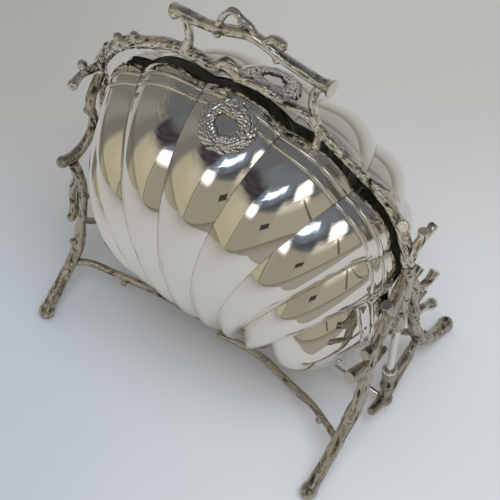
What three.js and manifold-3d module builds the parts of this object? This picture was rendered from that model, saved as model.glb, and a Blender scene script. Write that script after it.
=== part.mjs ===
// A folding biscuit box: two fluted half bowls that swing on one rod in a frame of cast branches.
// Millimetres, +Z up. The front is at -Y, so right is at +X. The feet stand on z = 0.

import * as THREE from "three";
import { mergeVertices } from "three/addons/utils/BufferGeometryUtils.js";
import Module from "manifold-3d";

const wasm = await Module();
wasm.setup();

// Fits shared by all pieces.
const FIT = 0.3;
const WALL = 1.2;
const SLIVER = 0.12;

// Main sizes of the frame.
const FOOT_X = 125;
const FOOT_Y = 89.6;
const FOOT_R = 6.3;
const FOOT_CUT = 0.5;
const POST_X = 128;
const BARK_R = 4.6;
const KNOB_R = 4.6;
const KNOB_X = POST_X + 3.4;
const LARGE_KNOB_R = 4;

// The hinge along X that both half bowls share.
const HINGE_Z = 18;
const HINGE_SIDES = 12;
const ROD_R = 2.2;
const BOSS_R = 6.2;
const ROD_END_X = POST_X - 1;
const BARREL_R = 4.2;
const BARREL_COUNT = 5;
const LEAF_HALF = 66;
const LEAF_TOP_Z = 34;
const LEAF_T = 1.5;

// Each end post: bark branch, smooth rod in a collar, and a lower piece that stands on the boss.
const POST_TOP_Z = 187;
const ROD_TOP_Z = 113;
const COLLAR_TOP_Z = 60;
const COLLAR_Z = 56.5;
const POST_ROD_R = 3;
const COLLAR_R = 5.4;
const COLLAR_EDGE = 0.8;
const ROUND_SIDES = 16;

// The half bowl: nine flutes from a scalloped rim to a wide bottom edge.
const FLUTES = 9;
const HALF_FLUTES = FLUTES / 2;
const RIM_Y = 4;
const BOWL = {
  knots: [0, 0.5, 1.5, 2.5, 3.5, 4.5],
  rimX: [0, 31, 83.5, 115, 113.2, 112],
  rimZ: [252.5, 251, 231.5, 195.8, 139.8, 81.4],
  stripWidth: 16.6,
  bottomZ: 28,
  upperDepth: 63.8,
  lowerDepth: 133,
  lowerPullZ: 125.9,
  upperPullZ: 21,
  upperPullShare: 0.98,
  upperNarrow: 0.81,
  lowerNarrow: 0.49,
  endFlare: 1.05,
  endDeepen: 0.67,
  endShallow: 0.6,
  endDrop: 71,
};
const RIM_SCALLOP = 7.4;
const RIM_SCALLOP_FALL = 1;
const LOBE = 4.6;
// Towards the ends the valleys between the lobes lie deeper; the lobes' tops stay where they are.
const SINK = { depth: 7, starts: 1.5, full: 3, fades: 3.7, top: 0.02, down: 0.12, low: 0.85 };
const RIM_BAND = 0.12;
const CELLS_PER_FLUTE = 5;
const BOWL_ROWS = [0, 0.04, 0.09, 0.16, 0.25, 0.35, 0.45, 0.55, 0.65, 0.74, 0.83, 0.92, 1];

const FINISH = {
  polished: { color: 0xcfcbc2, roughness: 0.06, metalness: 1 },
  smooth: { color: 0xb9b3a6, roughness: 0.18, metalness: 1 },
  bark: { color: 0x8d8575, roughness: 0.4, metalness: 1 },
  dark: { color: 0x5f584b, roughness: 0.5, metalness: 1 },
};

/** Turns a closed geometry into a solid for joining and cutting. */
function solid(source) {
  const shape = source.clone();
  shape.deleteAttribute("normal");
  shape.deleteAttribute("uv");
  const welded = mergeVertices(shape, 1e-4);
  return new wasm.Manifold(new wasm.Mesh({
    numProp: 3,
    vertProperties: new Float32Array(welded.attributes.position.array),
    triVerts: new Uint32Array(welded.index.array),
  }));
}

/** Turns a solid back into a geometry with normals, without its slivers. */
function geometryOf(body) {
  const mesh = body.simplify(SLIVER).getMesh();
  const geometry = new THREE.BufferGeometry();
  geometry.setAttribute("position", new THREE.BufferAttribute(new Float32Array(mesh.vertProperties), 3));
  geometry.setIndex(new THREE.BufferAttribute(new Uint32Array(mesh.triVerts), 1));
  geometry.computeVertexNormals();
  return geometry;
}

/** One named piece with its own material. */
function piece(name, geometry, finish) {
  const mesh = new THREE.Mesh(geometry, new THREE.MeshStandardMaterial(FINISH[finish]));
  mesh.name = name;
  return mesh;
}

/** Indexed geometry from points and faces. */
function facets(points, faces) {
  const geometry = new THREE.BufferGeometry();
  const places = points.flatMap((point) => point.toArray());
  geometry.setAttribute("position", new THREE.Float32BufferAttribute(places, 3));
  geometry.setIndex(faces.flat());
  return geometry;
}

/** A round twig with flat closed ends through points [x, y, z, radius]. */
function twig(points, sides, grow) {
  const centres = points.map(([x, y, z]) => new THREE.Vector3(x, y, z));
  const curve = new THREE.CatmullRomCurve3(centres, false, "centripetal");
  const rings = points.length + (points.length < 6 ? 0 : 1);
  const frames = curve.computeFrenetFrames(rings, false);
  const vertices = [];
  for (let i = 0; i <= rings; i += 1) {
    const along = curve.getUtoTmapping(i / rings) * (points.length - 1);
    const from = Math.min(points.length - 2, Math.floor(along));
    const radius = THREE.MathUtils.lerp(points[from][3], points[from + 1][3], along - from) + grow;
    const centre = curve.getPointAt(i / rings);
    const end = (i === rings ? 1 : 0) - (i === 0 ? 1 : 0);
    centre.addScaledVector(frames.tangents[i], end * grow);
    for (let j = 0; j < sides; j += 1) {
      const angle = (j / sides) * 2 * Math.PI;
      vertices.push(centre.clone()
        .addScaledVector(frames.normals[i], radius * Math.cos(angle))
        .addScaledVector(frames.binormals[i], radius * Math.sin(angle)));
    }
  }
  const faces = [];
  for (let j = 0; j < sides; j += 1) {
    const k = (j + 1) % sides;
    for (let i = 0; i < rings; i += 1) {
      const a = i * sides;
      const b = a + sides;
      faces.push([a + j, a + k, b + j], [a + k, b + k, b + j]);
    }
    if (j > 0 && k > 0) {
      const last = rings * sides;
      faces.push([0, k, j], [last, last + j, last + k]);
    }
  }
  return solid(facets(vertices, faces));
}

/** A round knot or cut bud at [x, y, z, radius]. */
function knob([x, y, z, radius], grow) {
  const rings = radius > LARGE_KNOB_R ? 6 : 4;
  const ball = new THREE.SphereGeometry(radius + grow, rings + 2, rings);
  ball.translate(x, y, z);
  return solid(ball);
}

/** Casts a piece's twigs and knobs in one; grow gives the room that it needs in a neighbour. */
function cast({ twigs = [], knobs = [], sides = 7 }, grow = 0) {
  const bodies = [
    ...twigs.map((points) => twig(points, sides, grow)),
    ...knobs.map((place) => knob(place, grow)),
  ];
  return bodies.reduce((whole, body) => whole.add(body));
}

/** Cuts a piece back from the neighbours that it meets, and drops the tips left beyond them. */
function fitted(design, neighbours) {
  const cut = neighbours.reduce((body, other) => body.subtract(cast(other, FIT)), cast(design));
  return cut.decompose().reduce((most, body) => (body.volume() > most.volume() ? body : most));
}

/** The same design on the other side of the x = 0 plane. */
function mirrored(design) {
  const flip = ([x, ...rest]) => [-x, ...rest];
  return {
    ...design,
    twigs: (design.twigs ?? []).map((points) => points.map(flip)),
    knobs: (design.knobs ?? []).map(flip),
  };
}

/** The same design on the other side of the y = 0 plane. */
function turnedBack(design) {
  const flip = ([x, y, ...rest]) => [x, -y, ...rest];
  return {
    ...design,
    twigs: (design.twigs ?? []).map((points) => points.map(flip)),
    knobs: (design.knobs ?? []).map(flip),
  };
}

/** The same design raised by a height. */
function raised(design, height) {
  const lift = ([x, y, z, radius]) => [x, y, z + height, radius];
  return {
    ...design,
    twigs: design.twigs.map((points) => points.map(lift)),
    knobs: (design.knobs ?? []).map(lift),
  };
}

/** A leg ends in a round foot, cut flat where it stands. */
function standing(body) {
  const floor = new THREE.BoxGeometry(4 * FOOT_X, 4 * FOOT_Y, 2 * FOOT_R);
  floor.translate(0, 0, -FOOT_R);
  return body.subtract(solid(floor));
}

const foot = (side, front) => [side * FOOT_X, front * FOOT_Y, FOOT_R - FOOT_CUT, FOOT_R];

// The arch over the bowls, from post to post. Its heights, and the handle's, count from the post tops.
const arch = raised({
  twigs: [
    [
      [-POST_X, 0, 0, BARK_R], [-130, 0, 14, BARK_R], [-121, 0, 33, 4.3], [-105, 0, 52, 4.5],
      [-82, 0, 67, 4], [-61, 0, 77, 3.8], [-45, 0, 79, 4.5], [-29, 0, 79, 4], [-22, 0, 85, 4.5],
      [-8, 0, 83, 4], [11, 0, 85, 4.3], [26, 0, 83, 3.7], [45, 0, 82, 4.2], [57, 0, 74, 4.2],
      [77, 0, 63, 4], [94, 0, 56, 4.2], [105, 0, 49, 4], [116, 0, 34, 4.3], [124, 0, 16, BARK_R],
      [POST_X - 1, 0, 0, BARK_R],
    ],
    [[116, 0, 35, 4], [120.5, -5, 41, 3.8], [124.5, -10, 47, 4.2]],
    [[53, 0, 76, 3], [54, -4, 71, 2.6], [55, -8, 67, 2.6]],
    [[-26, 0, 81, 3.5], [-20, 0, 89, 3.7], [-8, 0, 88, 3]],
  ],
  knobs: [
    [-122, 1, 37, 3.3], [-112, 1, 52, 3.3], [-96, 0, 64, 3.4], [84, -3, 65, 2.9], [89, -3, 62, 2.9],
    [105, -3, 53, 3.2], [98, -3, 55, 2.9],
  ],
}, POST_TOP_Z);

// The bar of the handle, with flared cut ends.
const handleBar = raised({
  twigs: [[
    [-60, 0, 108, 4.8], [-55, 0, 111, 3.9], [-45, 0, 111, 4.1], [-36, 0, 112, 3.8], [-24, 0, 115, 4.1],
    [-12, 0, 120, 3.9], [-1, 0, 124, 3.9], [10, 0, 123, 3.7], [22, 0, 120, 3.7], [38, 0, 118, 3.7],
    [50, 0, 117, 3.9], [58, 0, 117, 5],
  ]],
  knobs: [[-25, -2, 112, 3], [20, -2, 118, 2.8]],
}, POST_TOP_Z);

const leftStrut = raised({
  twigs: [[[-52, 0, 112, 2.9], [-49.5, 0, 102, 2.4], [-48.5, 0, 92, 2.6], [-52, 0, 80, 4]]],
}, POST_TOP_Z);

const rightStrut = raised({
  twigs: [[[52, 0, 116, 3.2], [47.5, 0, 106, 2.9], [46.5, 0, 94, 2.9], [50, 0, 81, 3.8]]],
}, POST_TOP_Z);

// A bent twig on the bar that comes down to two knots, and a bud on a short stem.
const forkOnBar = raised({
  sides: 6,
  twigs: [[
    [-26, 0, 117, 2.4], [-20, 0, 130, 2.2], [-14, 0, 136, 2.4], [-8, 0, 133, 2.6], [-1, 0, 130, 2.4],
    [5, 0, 124, 2.1],
  ]],
  knobs: [[-7, -1, 131, 2.9]],
}, POST_TOP_Z);

const budOnBar = raised({
  sides: 6,
  twigs: [[[9, 0, 124, 2.2], [16, 0, 131, 2.9], [22, 0, 131, 3.2]]],
  knobs: [[23, -1, 131, 3.5], [11, -2, 128, 2.6]],
}, POST_TOP_Z);

// The bark branch of an end post, from the smooth rod up to the arch.
const post = {
  twigs: [[
    [POST_X, 0, ROD_TOP_Z + FIT, 4.4], [POST_X, 0, ROD_TOP_Z + 15, 5], [POST_X, 0, POST_TOP_Z - 42, BARK_R],
    [POST_X, 0, POST_TOP_Z - 27, 5], [POST_X, 0, POST_TOP_Z - 12, BARK_R], [POST_X, 0, POST_TOP_Z, BARK_R],
  ]],
};

// The lower piece of an end post. It stands on the boss that holds the end of the hinge rod.
const postFoot = {
  twigs: [[
    [POST_X, 0, HINGE_Z, 3.6], [POST_X, 0, 30, 3.8], [POST_X, 0, 42, 4.4], [POST_X, 0, COLLAR_Z - FIT, 5],
  ]],
  knobs: [[POST_X, -2, 40, 4.6]],
};

// Front leg on the right, with its cut stubs.
const frontLegRight = {
  twigs: [
    [
      [FOOT_X, -FOOT_Y, FOOT_R, 5], [FOOT_X, -79, 13, 4.8], [FOOT_X, -65, 23, 4.6], [FOOT_X, -50, 39, 4.6],
      [125.4, -41, 51, 5.4], [125.8, -34, 61, 4.4], [126.2, -31, 78, 4.2], [126.8, -31, 97, 4.4],
      [127.3, -30, 115, 4.2], [127.7, -23, 132, 4.2], [POST_X, -17, POST_TOP_Z - 41, 4.2],
      [POST_X, -9, POST_TOP_Z - 24, 4.2], [POST_X, 0, POST_TOP_Z - 9, 4],
    ],
    [[126.4, -32, 84, 3.4], [126.6, -37, 72, 3.8], [127, -41, 58, 3.4]],
    [[126.8, -30, 104, 4], [125.6, -42, 109, 4.4], [124.8, -52, 112, 4.8]],
    [[127.4, -26, 122, 3.6], [127.6, -34, 126, 3.8], [127.8, -41, 129, 4]],
    [
      [POST_X, -15, POST_TOP_Z - 38, 3.6], [POST_X, -19, POST_TOP_Z - 29, 3.6],
      [POST_X, -22, POST_TOP_Z - 21, 3.8],
    ],
    [[127, -30, 98, 2.4], [127.5, -20, 101, 2.4], [POST_X, -12, 103, 2.2]],
  ],
  knobs: [foot(1, -1), [125.6, -45, 49, 3.6]],
};

// Front leg on the left, up to the knot of the crooked twig.
const frontLegLeft = {
  twigs: [
    [
      [-FOOT_X, -FOOT_Y, FOOT_R, 5], [-FOOT_X, -70, 23, 4.7], [-125.3, -55, 36, 4.6],
      [-125.6, -47, 46, 4.8], [-126, -42, 64, 4.2], [-126.5, -38, 79, 4.2], [-127, -35, 100, 4.2], [-127.5, -36, 118, 4.2],
      [-POST_X, -39, 134, 4],
    ],
    [[-126.2, -40, 70, 2.6], [-124.5, -33, 62, 2.6], [-123.5, -27, 56, 2.4]],
  ],
  knobs: [foot(-1, -1), [-126.6, -51, 53, 3.2], [-127, -34, 92, 4.6]],
};

// The crooked twig that carries on from the left front leg to the arch.
const crook = {
  twigs: [[
    [-KNOB_X, -45, 139, 3.8], [-POST_X - 2, -36, 137, 4.2], [-POST_X - 1, -25, 141, 3.6],
    [-POST_X - 1, -16, POST_TOP_Z - 38, 3.5], [-POST_X - 1, -13, POST_TOP_Z - 27, 3.5],
    [-POST_X - 1, -15, POST_TOP_Z - 16, 3.7],
    [-POST_X - 1, -12, POST_TOP_Z - 4, 3.8], [-POST_X - 1, 0, POST_TOP_Z + 9, 3.8],
  ]],
  knobs: [[-KNOB_X, -46, 139, KNOB_R], [-POST_X - 1.5, -18, POST_TOP_Z - 16, 2.8]],
};

// A long thin twig lies along the left front leg.
const spurLeft = {
  sides: 6,
  twigs: [[
    [-POST_X - 1, -46, 76, 3], [-POST_X - 2.5, -42.5, 88, 2.6], [-POST_X - 2.5, -41, 104, 2.6],
    [-POST_X + 0.5, -37, 117, 3.2],
  ]],
  knobs: [[-POST_X - 1.4, -47, 77, 3.6]],
};

const forkLeft = {
  sides: 6,
  twigs: [
    [
      [-POST_X - 2, 0, POST_TOP_Z + 14, 3.6], [-POST_X - 2, -7, POST_TOP_Z + 17, 3.2],
      [-POST_X - 1.5, -13, POST_TOP_Z + 20, 3], [-POST_X - 1, -18, POST_TOP_Z + 28, 3],
    ],
    [
      [-POST_X - 1.6, -12, POST_TOP_Z + 19, 3], [-POST_X - 1.6, -19, POST_TOP_Z + 21, 2.8],
      [-POST_X - 2, -26, POST_TOP_Z + 19, 3.2],
    ],
  ],
  knobs: [[-POST_X - 1, -18, POST_TOP_Z + 30, 3.8], [-POST_X - 2, -28, POST_TOP_Z + 18, 4]],
};

const sideTwigLeft = {
  sides: 6,
  twigs: [[
    [-POST_X, 0, POST_TOP_Z - 15, 3], [-POST_X - 1, 7, POST_TOP_Z - 18, 3],
    [-POST_X - 2, 13, POST_TOP_Z - 24, 3.2],
  ]],
};

const forkRight = {
  sides: 6,
  twigs: [
    [
      [POST_X, 0, POST_TOP_Z + 6, 3.8], [POST_X + 2, 1, POST_TOP_Z + 18, 3.4],
      [POST_X + 3, 5, POST_TOP_Z + 25, 3], [POST_X + 3, 6, POST_TOP_Z + 32, 3.6],
    ],
    [
      [POST_X + 2.6, 3, POST_TOP_Z + 21, 2.8], [POST_X + 3.4, 12, POST_TOP_Z + 24, 2.8],
      [POST_X + 3.6, 18, POST_TOP_Z + 26, 3.4],
    ],
  ],
};

const sideTwigRight = {
  sides: 6,
  twigs: [[
    [POST_X, 0, POST_TOP_Z - 23, 3], [POST_X + 1.5, 7, POST_TOP_Z - 19, 3],
    [POST_X + 2.5, 13, POST_TOP_Z - 15, 3.4],
  ]],
};

const curvedTwigRight = {
  sides: 6,
  twigs: [[
    [POST_X, 14, 146, 3.2], [POST_X + 2, 22, 139, 3.4], [POST_X + 3, 30, 139, 3.2],
    [POST_X + 3.5, 35, 144, 3.8],
  ]],
};

const knobTwigRight = {
  sides: 6,
  twigs: [[[POST_X - 1, 24, 98, 3.2], [POST_X + 1, 31, 101, 3], [POST_X + 3, 38, 99, 3.2]]],
  knobs: [[KNOB_X, 40, 98, KNOB_R]],
};

// A rear leg mirrors a front leg, with its own small cut stubs.
const rearLegRight = {
  twigs: [
    [
      [FOOT_X, FOOT_Y, FOOT_R, 5], [FOOT_X, 75, 11, 4.8], [FOOT_X, 56, 26, 4.8], [125.3, 43, 45, 4.6],
      [126, 35, 64, 4.4], [126.6, 28, 84, 4.4], [127.2, 23, 104, 4.4], [127.8, 17, 130, 4.2],
      [POST_X, 9, POST_TOP_Z - 29, 4.2], [POST_X, 0, POST_TOP_Z - 13, 4],
    ],
    [[127, 25, 118, 3], [128, 32, 122, 2.8]],
  ],
  knobs: [foot(1, 1), [126, 38, 58, 5.2]],
};

// A low brace runs from each rear leg in to the lower piece of the post.
const rearBraceRight = {
  sides: 6,
  twigs: [[[125.2, 43, 44, 3.2], [125.6, 29, 36, 3.4], [126.4, 15, 36, 3.2], [POST_X, 0, 40, 3]]],
};

// The low twig across each end. Its ball holds the end of the hinge rod.
const endTwigRight = {
  sides: 8,
  twigs: [[
    [126.4, 34, 37, 3], [127, 18, 27, 3.2], [127, 8, HINGE_Z + 1, 3.6], [127.2, -8, HINGE_Z, 3.6],
    [127, -17, HINGE_Z + 2, 3.2],
  ]],
  knobs: [[POST_X, 0, HINGE_Z, BOSS_R]],
};

// Two slender twigs overlap to join the front legs low down; the rear has the same pair.
const stretcherLeft = {
  sides: 6,
  twigs: [
    [
      [-FOOT_X, -55, 33, 3], [-116, -47, 30, 2.8], [-101, -41, 25.5, 2.7], [-84, -34.5, 19.5, 3],
      [-66, -28, 13.5, 2.7], [-44, -25, 11, 2.8], [-21, -23, 10, 2.7], [-7, -21.5, 10, 2.7],
      [5, -22, 10.5, 2.2],
    ],
    [[-89, -36, 21, 2.2], [-89, -40.5, 16, 2.2]],
  ],
  knobs: [[-44, -26, 12, 3.2], [-15, -23, 9.5, 3]],
};

const stretcherRight = {
  sides: 6,
  twigs: [
    [
      [FOOT_X, -57, 32, 3], [115, -52, 31, 2.8], [105, -47, 28.5, 2.6], [92.5, -40.5, 24, 2.6],
      [82, -36.5, 19.5, 3], [68.5, -32, 14.5, 2.9], [53, -27.5, 11.5, 2.7], [38, -24, 10.5, 2.8],
      [23, -23.5, 10.5, 2.6], [8.5, -25, 11, 2.5], [-6, -28, 11, 2.3],
    ],
    [[81, -37, 19, 2.4], [76, -37, 19.5, 2.4]],
    [[105.5, -46.5, 28.5, 2.2], [102, -49.5, 25, 2.4]],
  ],
  knobs: [[41, -25.5, 11.5, 3.2]],
};

/** Everything that stands still, each piece cut back from the ones it meets. */
function frameGroup() {
  const frame = new THREE.Group();
  frame.name = "frame";
  const add = (name, body, finish) => frame.add(piece(name, geometryOf(body), finish));
  const postLeft = mirrored(post);
  const rearLegLeft = mirrored(rearLegRight);
  const rearStretcherLeft = turnedBack(stretcherLeft);
  const rearStretcherRight = turnedBack(stretcherRight);

  add("arch_branch", fitted(arch, [post, postLeft]), "bark");
  add("handle_bar", fitted(handleBar, []), "smooth");
  add("handle_strut_left", fitted(leftStrut, [arch, handleBar]), "bark");
  add("handle_strut_right", fitted(rightStrut, [arch, handleBar]), "bark");
  add("handle_twig_bent", fitted(forkOnBar, [handleBar]), "smooth");
  add("handle_twig_bud", fitted(budOnBar, [handleBar, forkOnBar]), "smooth");

  for (const [side, flip] of [["right", (d) => d], ["left", mirrored]]) {
    const ends = flip(endTwigRight);
    const leg = flip(rearLegRight);
    add(`post_branch_${side}`, cast(flip(post)), "bark");
    add(`post_foot_${side}`, fitted(flip(postFoot), [ends]), "dark");
    add(`rear_leg_${side}`, standing(fitted(leg, [flip(post)])), "bark");
    add(`rear_brace_${side}`, fitted(flip(rearBraceRight), [leg, flip(postFoot), ends]), "bark");
    add(`end_twig_${side}`, fitted(ends, [leg]).subtract(hingeRodSolid(FIT)), "dark");
    frame.add(postRod(side), rodCollar(side));
  }
  add("front_leg_right", standing(fitted(frontLegRight, [post])), "bark");
  add("front_leg_left", standing(fitted(frontLegLeft, [crook])), "bark");
  add("crook_twig_left", fitted(crook, [arch, postLeft]), "bark");
  add("spur_twig_left", fitted(spurLeft, [frontLegLeft]), "bark");
  add("fork_twig_left", fitted(forkLeft, [arch, crook]), "bark");
  add("side_twig_left", fitted(sideTwigLeft, [postLeft, rearLegLeft]), "bark");
  add("fork_twig_right", fitted(forkRight, [arch, post]), "bark");
  add("side_twig_right", fitted(sideTwigRight, [post, rearLegRight]), "bark");
  add("curved_twig_right", fitted(curvedTwigRight, [rearLegRight]), "bark");
  add("knob_twig_right", fitted(knobTwigRight, [rearLegRight]), "bark");
  add("front_stretcher_left", fitted(stretcherLeft, [frontLegLeft]), "bark");
  add("front_stretcher_right", fitted(stretcherRight, [frontLegRight, stretcherLeft]), "bark");
  add("rear_stretcher_left", fitted(rearStretcherLeft, [rearLegLeft]), "bark");
  add("rear_stretcher_right", fitted(rearStretcherRight, [rearLegRight, rearStretcherLeft]), "bark");
  add("hinge_rod", hingeRodSolid(0), "smooth");
  return frame;
}

/** The smooth rod of an end post. */
function postRod(side) {
  const length = ROD_TOP_Z - COLLAR_Z;
  const rod = new THREE.CylinderGeometry(POST_ROD_R, POST_ROD_R, length, ROUND_SIDES);
  const mesh = piece(`post_rod_${side}`, rod, "polished");
  mesh.rotation.x = Math.PI / 2;
  mesh.position.set(side === "right" ? POST_X : -POST_X, 0, COLLAR_Z + length / 2);
  return mesh;
}

/** The round collar at the foot of that rod. */
function rodCollar(side) {
  const bore = POST_ROD_R + FIT;
  const height = COLLAR_TOP_Z - COLLAR_Z;
  const section = [
    [bore, 0], [COLLAR_R - COLLAR_EDGE, 0], [COLLAR_R, height / 3], [COLLAR_R, (2 * height) / 3],
    [COLLAR_R - COLLAR_EDGE, height], [bore, height], [bore, 0],
  ].map(([r, z]) => new THREE.Vector2(r, z));
  const mesh = piece(`rod_collar_${side}`, new THREE.LatheGeometry(section, ROUND_SIDES), "smooth");
  mesh.rotation.x = Math.PI / 2;
  mesh.position.set(side === "right" ? POST_X : -POST_X, 0, COLLAR_Z);
  return mesh;
}

/** A bar along X on the hinge line. */
function barAlongX(radius, fromX, toX) {
  const bar = new THREE.CylinderGeometry(radius, radius, toX - fromX, HINGE_SIDES);
  bar.rotateZ(Math.PI / 2);
  bar.translate((fromX + toX) / 2, 0, HINGE_Z);
  return solid(bar);
}

/** The rod that both half bowls turn on; grow gives its sockets. */
function hingeRodSolid(grow) {
  const end = ROD_END_X + grow;
  return barAlongX(ROD_R + grow, -end, end);
}

/** A value that runs smoothly through the knots, even about the middle flute. */
function throughKnots(u, values) {
  const { knots } = BOWL;
  const odd = values[0] === 0;
  const ks = [-knots[1], ...knots, knots[5] + 1];
  const vs = [odd ? -values[1] : values[1], ...values, 2 * values[5] - values[4]];
  const at = Math.abs(u);
  let i = 1;
  while (i < 5 && at >= ks[i + 1]) i += 1;
  const span = ks[i + 1] - ks[i];
  const s = (at - ks[i]) / span;
  const rise = ((vs[i + 1] - vs[i - 1]) / (ks[i + 1] - ks[i - 1])) * span;
  const fall = ((vs[i + 2] - vs[i]) / (ks[i + 2] - ks[i])) * span;
  const value = (2 * s ** 3 - 3 * s ** 2 + 1) * vs[i] + (s ** 3 - 2 * s ** 2 + s) * rise
    + (3 * s ** 2 - 2 * s ** 3) * vs[i + 1] + (s ** 3 - s ** 2) * fall;
  return odd ? Math.sign(u) * value : value;
}

/** Point of the smooth bowl that the flute valleys lie on: u counts flutes, t runs down from the rim. */
function valleyPoint(u, t) {
  const q = Math.abs(u) / HALF_FLUTES;
  const shut = Math.sqrt(Math.max(0, 1 - q ** 8));
  const rimX = throughKnots(u, BOWL.rimX);
  const rimZ = throughKnots(u, BOWL.rimZ);
  const endX = BOWL.stripWidth * u;
  const weights = [(1 - t) ** 3, 3 * t * (1 - t) ** 2, 3 * t ** 2 * (1 - t), t ** 3];
  const sum = (values) => values.reduce((total, value, i) => total + value * weights[i], 0);
  const upper = BOWL.upperDepth * (1 + BOWL.endDeepen * q ** 2);
  const lower = BOWL.lowerDepth * (1 - BOWL.endShallow * q ** 2);
  const upperZ = BOWL.upperPullZ + (rimZ - BOWL.upperPullZ) * BOWL.upperPullShare;
  const lowerZ = BOWL.lowerPullZ - BOWL.endDrop * q ** 4;
  const lowerX = endX * (BOWL.lowerNarrow + BOWL.endFlare * q ** 6);
  return new THREE.Vector3(
    sum([rimX, rimX * BOWL.upperNarrow, lowerX, endX]),
    -RIM_Y - shut * sum([0, upper, lower, 0]),
    sum([rimZ, upperZ, lowerZ, BOWL.bottomZ]),
  );
}

/** Outward direction of that smooth bowl. */
function outward(u, t) {
  const step = 0.01;
  const inside = (value, low, high) => Math.min(high, Math.max(low, value));
  const across = valleyPoint(inside(u + step, -HALF_FLUTES, HALF_FLUTES), t)
    .sub(valleyPoint(inside(u - step, -HALF_FLUTES, HALF_FLUTES), t));
  const down = valleyPoint(u, inside(t + step, 0, 1)).sub(valleyPoint(u, inside(t - step, 0, 1)));
  return down.cross(across).normalize();
}

/** How much deeper a valley lies at u flutes from the middle. */
function valleySink(u, t) {
  const { smoothstep } = THREE.MathUtils;
  const across = smoothstep(u, SINK.starts, SINK.full) * (1 - smoothstep(u, SINK.fades, HALF_FLUTES));
  return SINK.depth * across * smoothstep(t, SINK.top, SINK.down) * (1 - smoothstep(t, SINK.low, 1));
}

/** Point of the fluted skin, raised by the lobe and by lift. */
function bowlPoint(u, t, lift) {
  const scallop = RIM_SCALLOP - RIM_SCALLOP_FALL * Math.abs(u);
  const band = Math.max(0, 1 - t / RIM_BAND);
  const raise = LOBE + (scallop - LOBE) * band ** 2;
  const point = valleyPoint(u, t);
  const swell = Math.abs(Math.cos(Math.PI * u));
  const height = raise * swell - valleySink(Math.abs(u), t) * (1 - swell);
  point.addScaledVector(outward(u, t), height + lift);
  const edge = t === 0 || t === 1 || Math.abs(u) === HALF_FLUTES;
  point.y = edge ? -RIM_Y : Math.min(point.y, -RIM_Y);
  return point;
}

/** The half bowl: an outer and an inner skin joined round the flat rim. */
function bowlGeometry() {
  const columns = FLUTES * CELLS_PER_FLUTE;
  const rows = BOWL_ROWS.length - 1;
  const points = [];
  for (const lift of [0, -WALL]) {
    for (let i = 0; i <= columns; i += 1) {
      for (const t of BOWL_ROWS) points.push(bowlPoint(-HALF_FLUTES + i / CELLS_PER_FLUTE, t, lift));
    }
  }
  const at = (skin, i, j) => skin * (columns + 1) * (rows + 1) + i * (rows + 1) + j;
  const faces = [];
  for (let i = 0; i < columns; i += 1) {
    for (let j = 0; j < rows; j += 1) {
      const outer = [at(0, i, j), at(0, i, j + 1), at(0, i + 1, j + 1), at(0, i + 1, j)];
      const inner = [at(1, i, j), at(1, i + 1, j), at(1, i + 1, j + 1), at(1, i, j + 1)];
      for (const [a, b, c, d] of [outer, inner]) faces.push([a, b, c], [a, c, d]);
    }
  }
  const loop = [];
  for (let i = 0; i < columns; i += 1) loop.push([i, 0]);
  for (let j = 0; j < rows; j += 1) loop.push([columns, j]);
  for (let i = columns; i > 0; i -= 1) loop.push([i, rows]);
  for (let j = rows; j > 0; j -= 1) loop.push([0, j]);
  loop.forEach(([i, j], n) => {
    const [k, m] = loop[(n + 1) % loop.length];
    faces.push([at(0, i, j), at(0, k, m), at(1, k, m)], [at(0, i, j), at(1, k, m), at(1, i, j)]);
  });
  return facets(points, faces);
}

// The laurel wreath sits on the middle lobe below the rim, its centre blank.
const WREATH = { down: 18.8, halfWidth: 16.1, halfHeight: 11.9, height: 2.4 };
const WREATH_BAND = 0.3;
const WREATH_STATIONS = 24;

/** Point over the middle lobe, at an angle round the wreath and a share of its radius. */
function wreathPoint(angle, share, lift) {
  const lobeWidth = 2 * BOWL.rimX[1];
  const lobeDepth = 3 * BOWL.upperDepth;
  const u = (WREATH.halfWidth / lobeWidth) * share * Math.sin(angle);
  const t = (WREATH.down - WREATH.halfHeight * share * Math.cos(angle)) / lobeDepth;
  return bowlPoint(u, t, lift);
}

/** The ring of leaves: a closed low moulding that follows the lobe. */
function wreathGeometry() {
  const section = [
    [1 - WREATH_BAND, FIT], [1, FIT], [1 + WREATH_BAND, FIT], [1 + WREATH_BAND * 0.7, WREATH.height],
    [1, WREATH.height + FIT], [1 - WREATH_BAND * 0.7, WREATH.height],
  ];
  const points = [];
  for (let i = 0; i < WREATH_STATIONS; i += 1) {
    for (const [share, lift] of section) {
      points.push(wreathPoint((i / WREATH_STATIONS) * 2 * Math.PI, share, lift));
    }
  }
  const faces = [];
  for (let i = 0; i < WREATH_STATIONS; i += 1) {
    const a = i * section.length;
    const b = ((i + 1) % WREATH_STATIONS) * section.length;
    for (let j = 0; j < section.length; j += 1) {
      const k = (j + 1) % section.length;
      faces.push([a + j, a + k, b + j], [a + k, b + k, b + j]);
    }
  }
  return facets(points, faces);
}

/** One half of the hinge: a strip soldered on the rim's bottom edge, rolled round the rod. */
function hingeLeaf(own) {
  const slot = (2 * LEAF_HALF) / BARREL_COUNT;
  const strip = new THREE.BoxGeometry(2 * LEAF_HALF, LEAF_T, LEAF_TOP_Z - HINGE_Z);
  strip.translate(0, -(RIM_Y - FIT - LEAF_T / 2), (LEAF_TOP_Z + HINGE_Z) / 2);
  let leaf = solid(strip);
  for (let i = 0; i < BARREL_COUNT; i += 1) {
    const from = -LEAF_HALF + i * slot;
    if (i % 2 === own) leaf = leaf.add(barAlongX(BARREL_R, from + FIT, from + slot - FIT));
    else leaf = leaf.subtract(barAlongX(BARREL_R + 2 * FIT, from - FIT, from + slot + FIT));
  }
  return leaf.subtract(barAlongX(ROD_R + FIT, -LEAF_HALF - 1, LEAF_HALF + 1));
}

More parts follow.
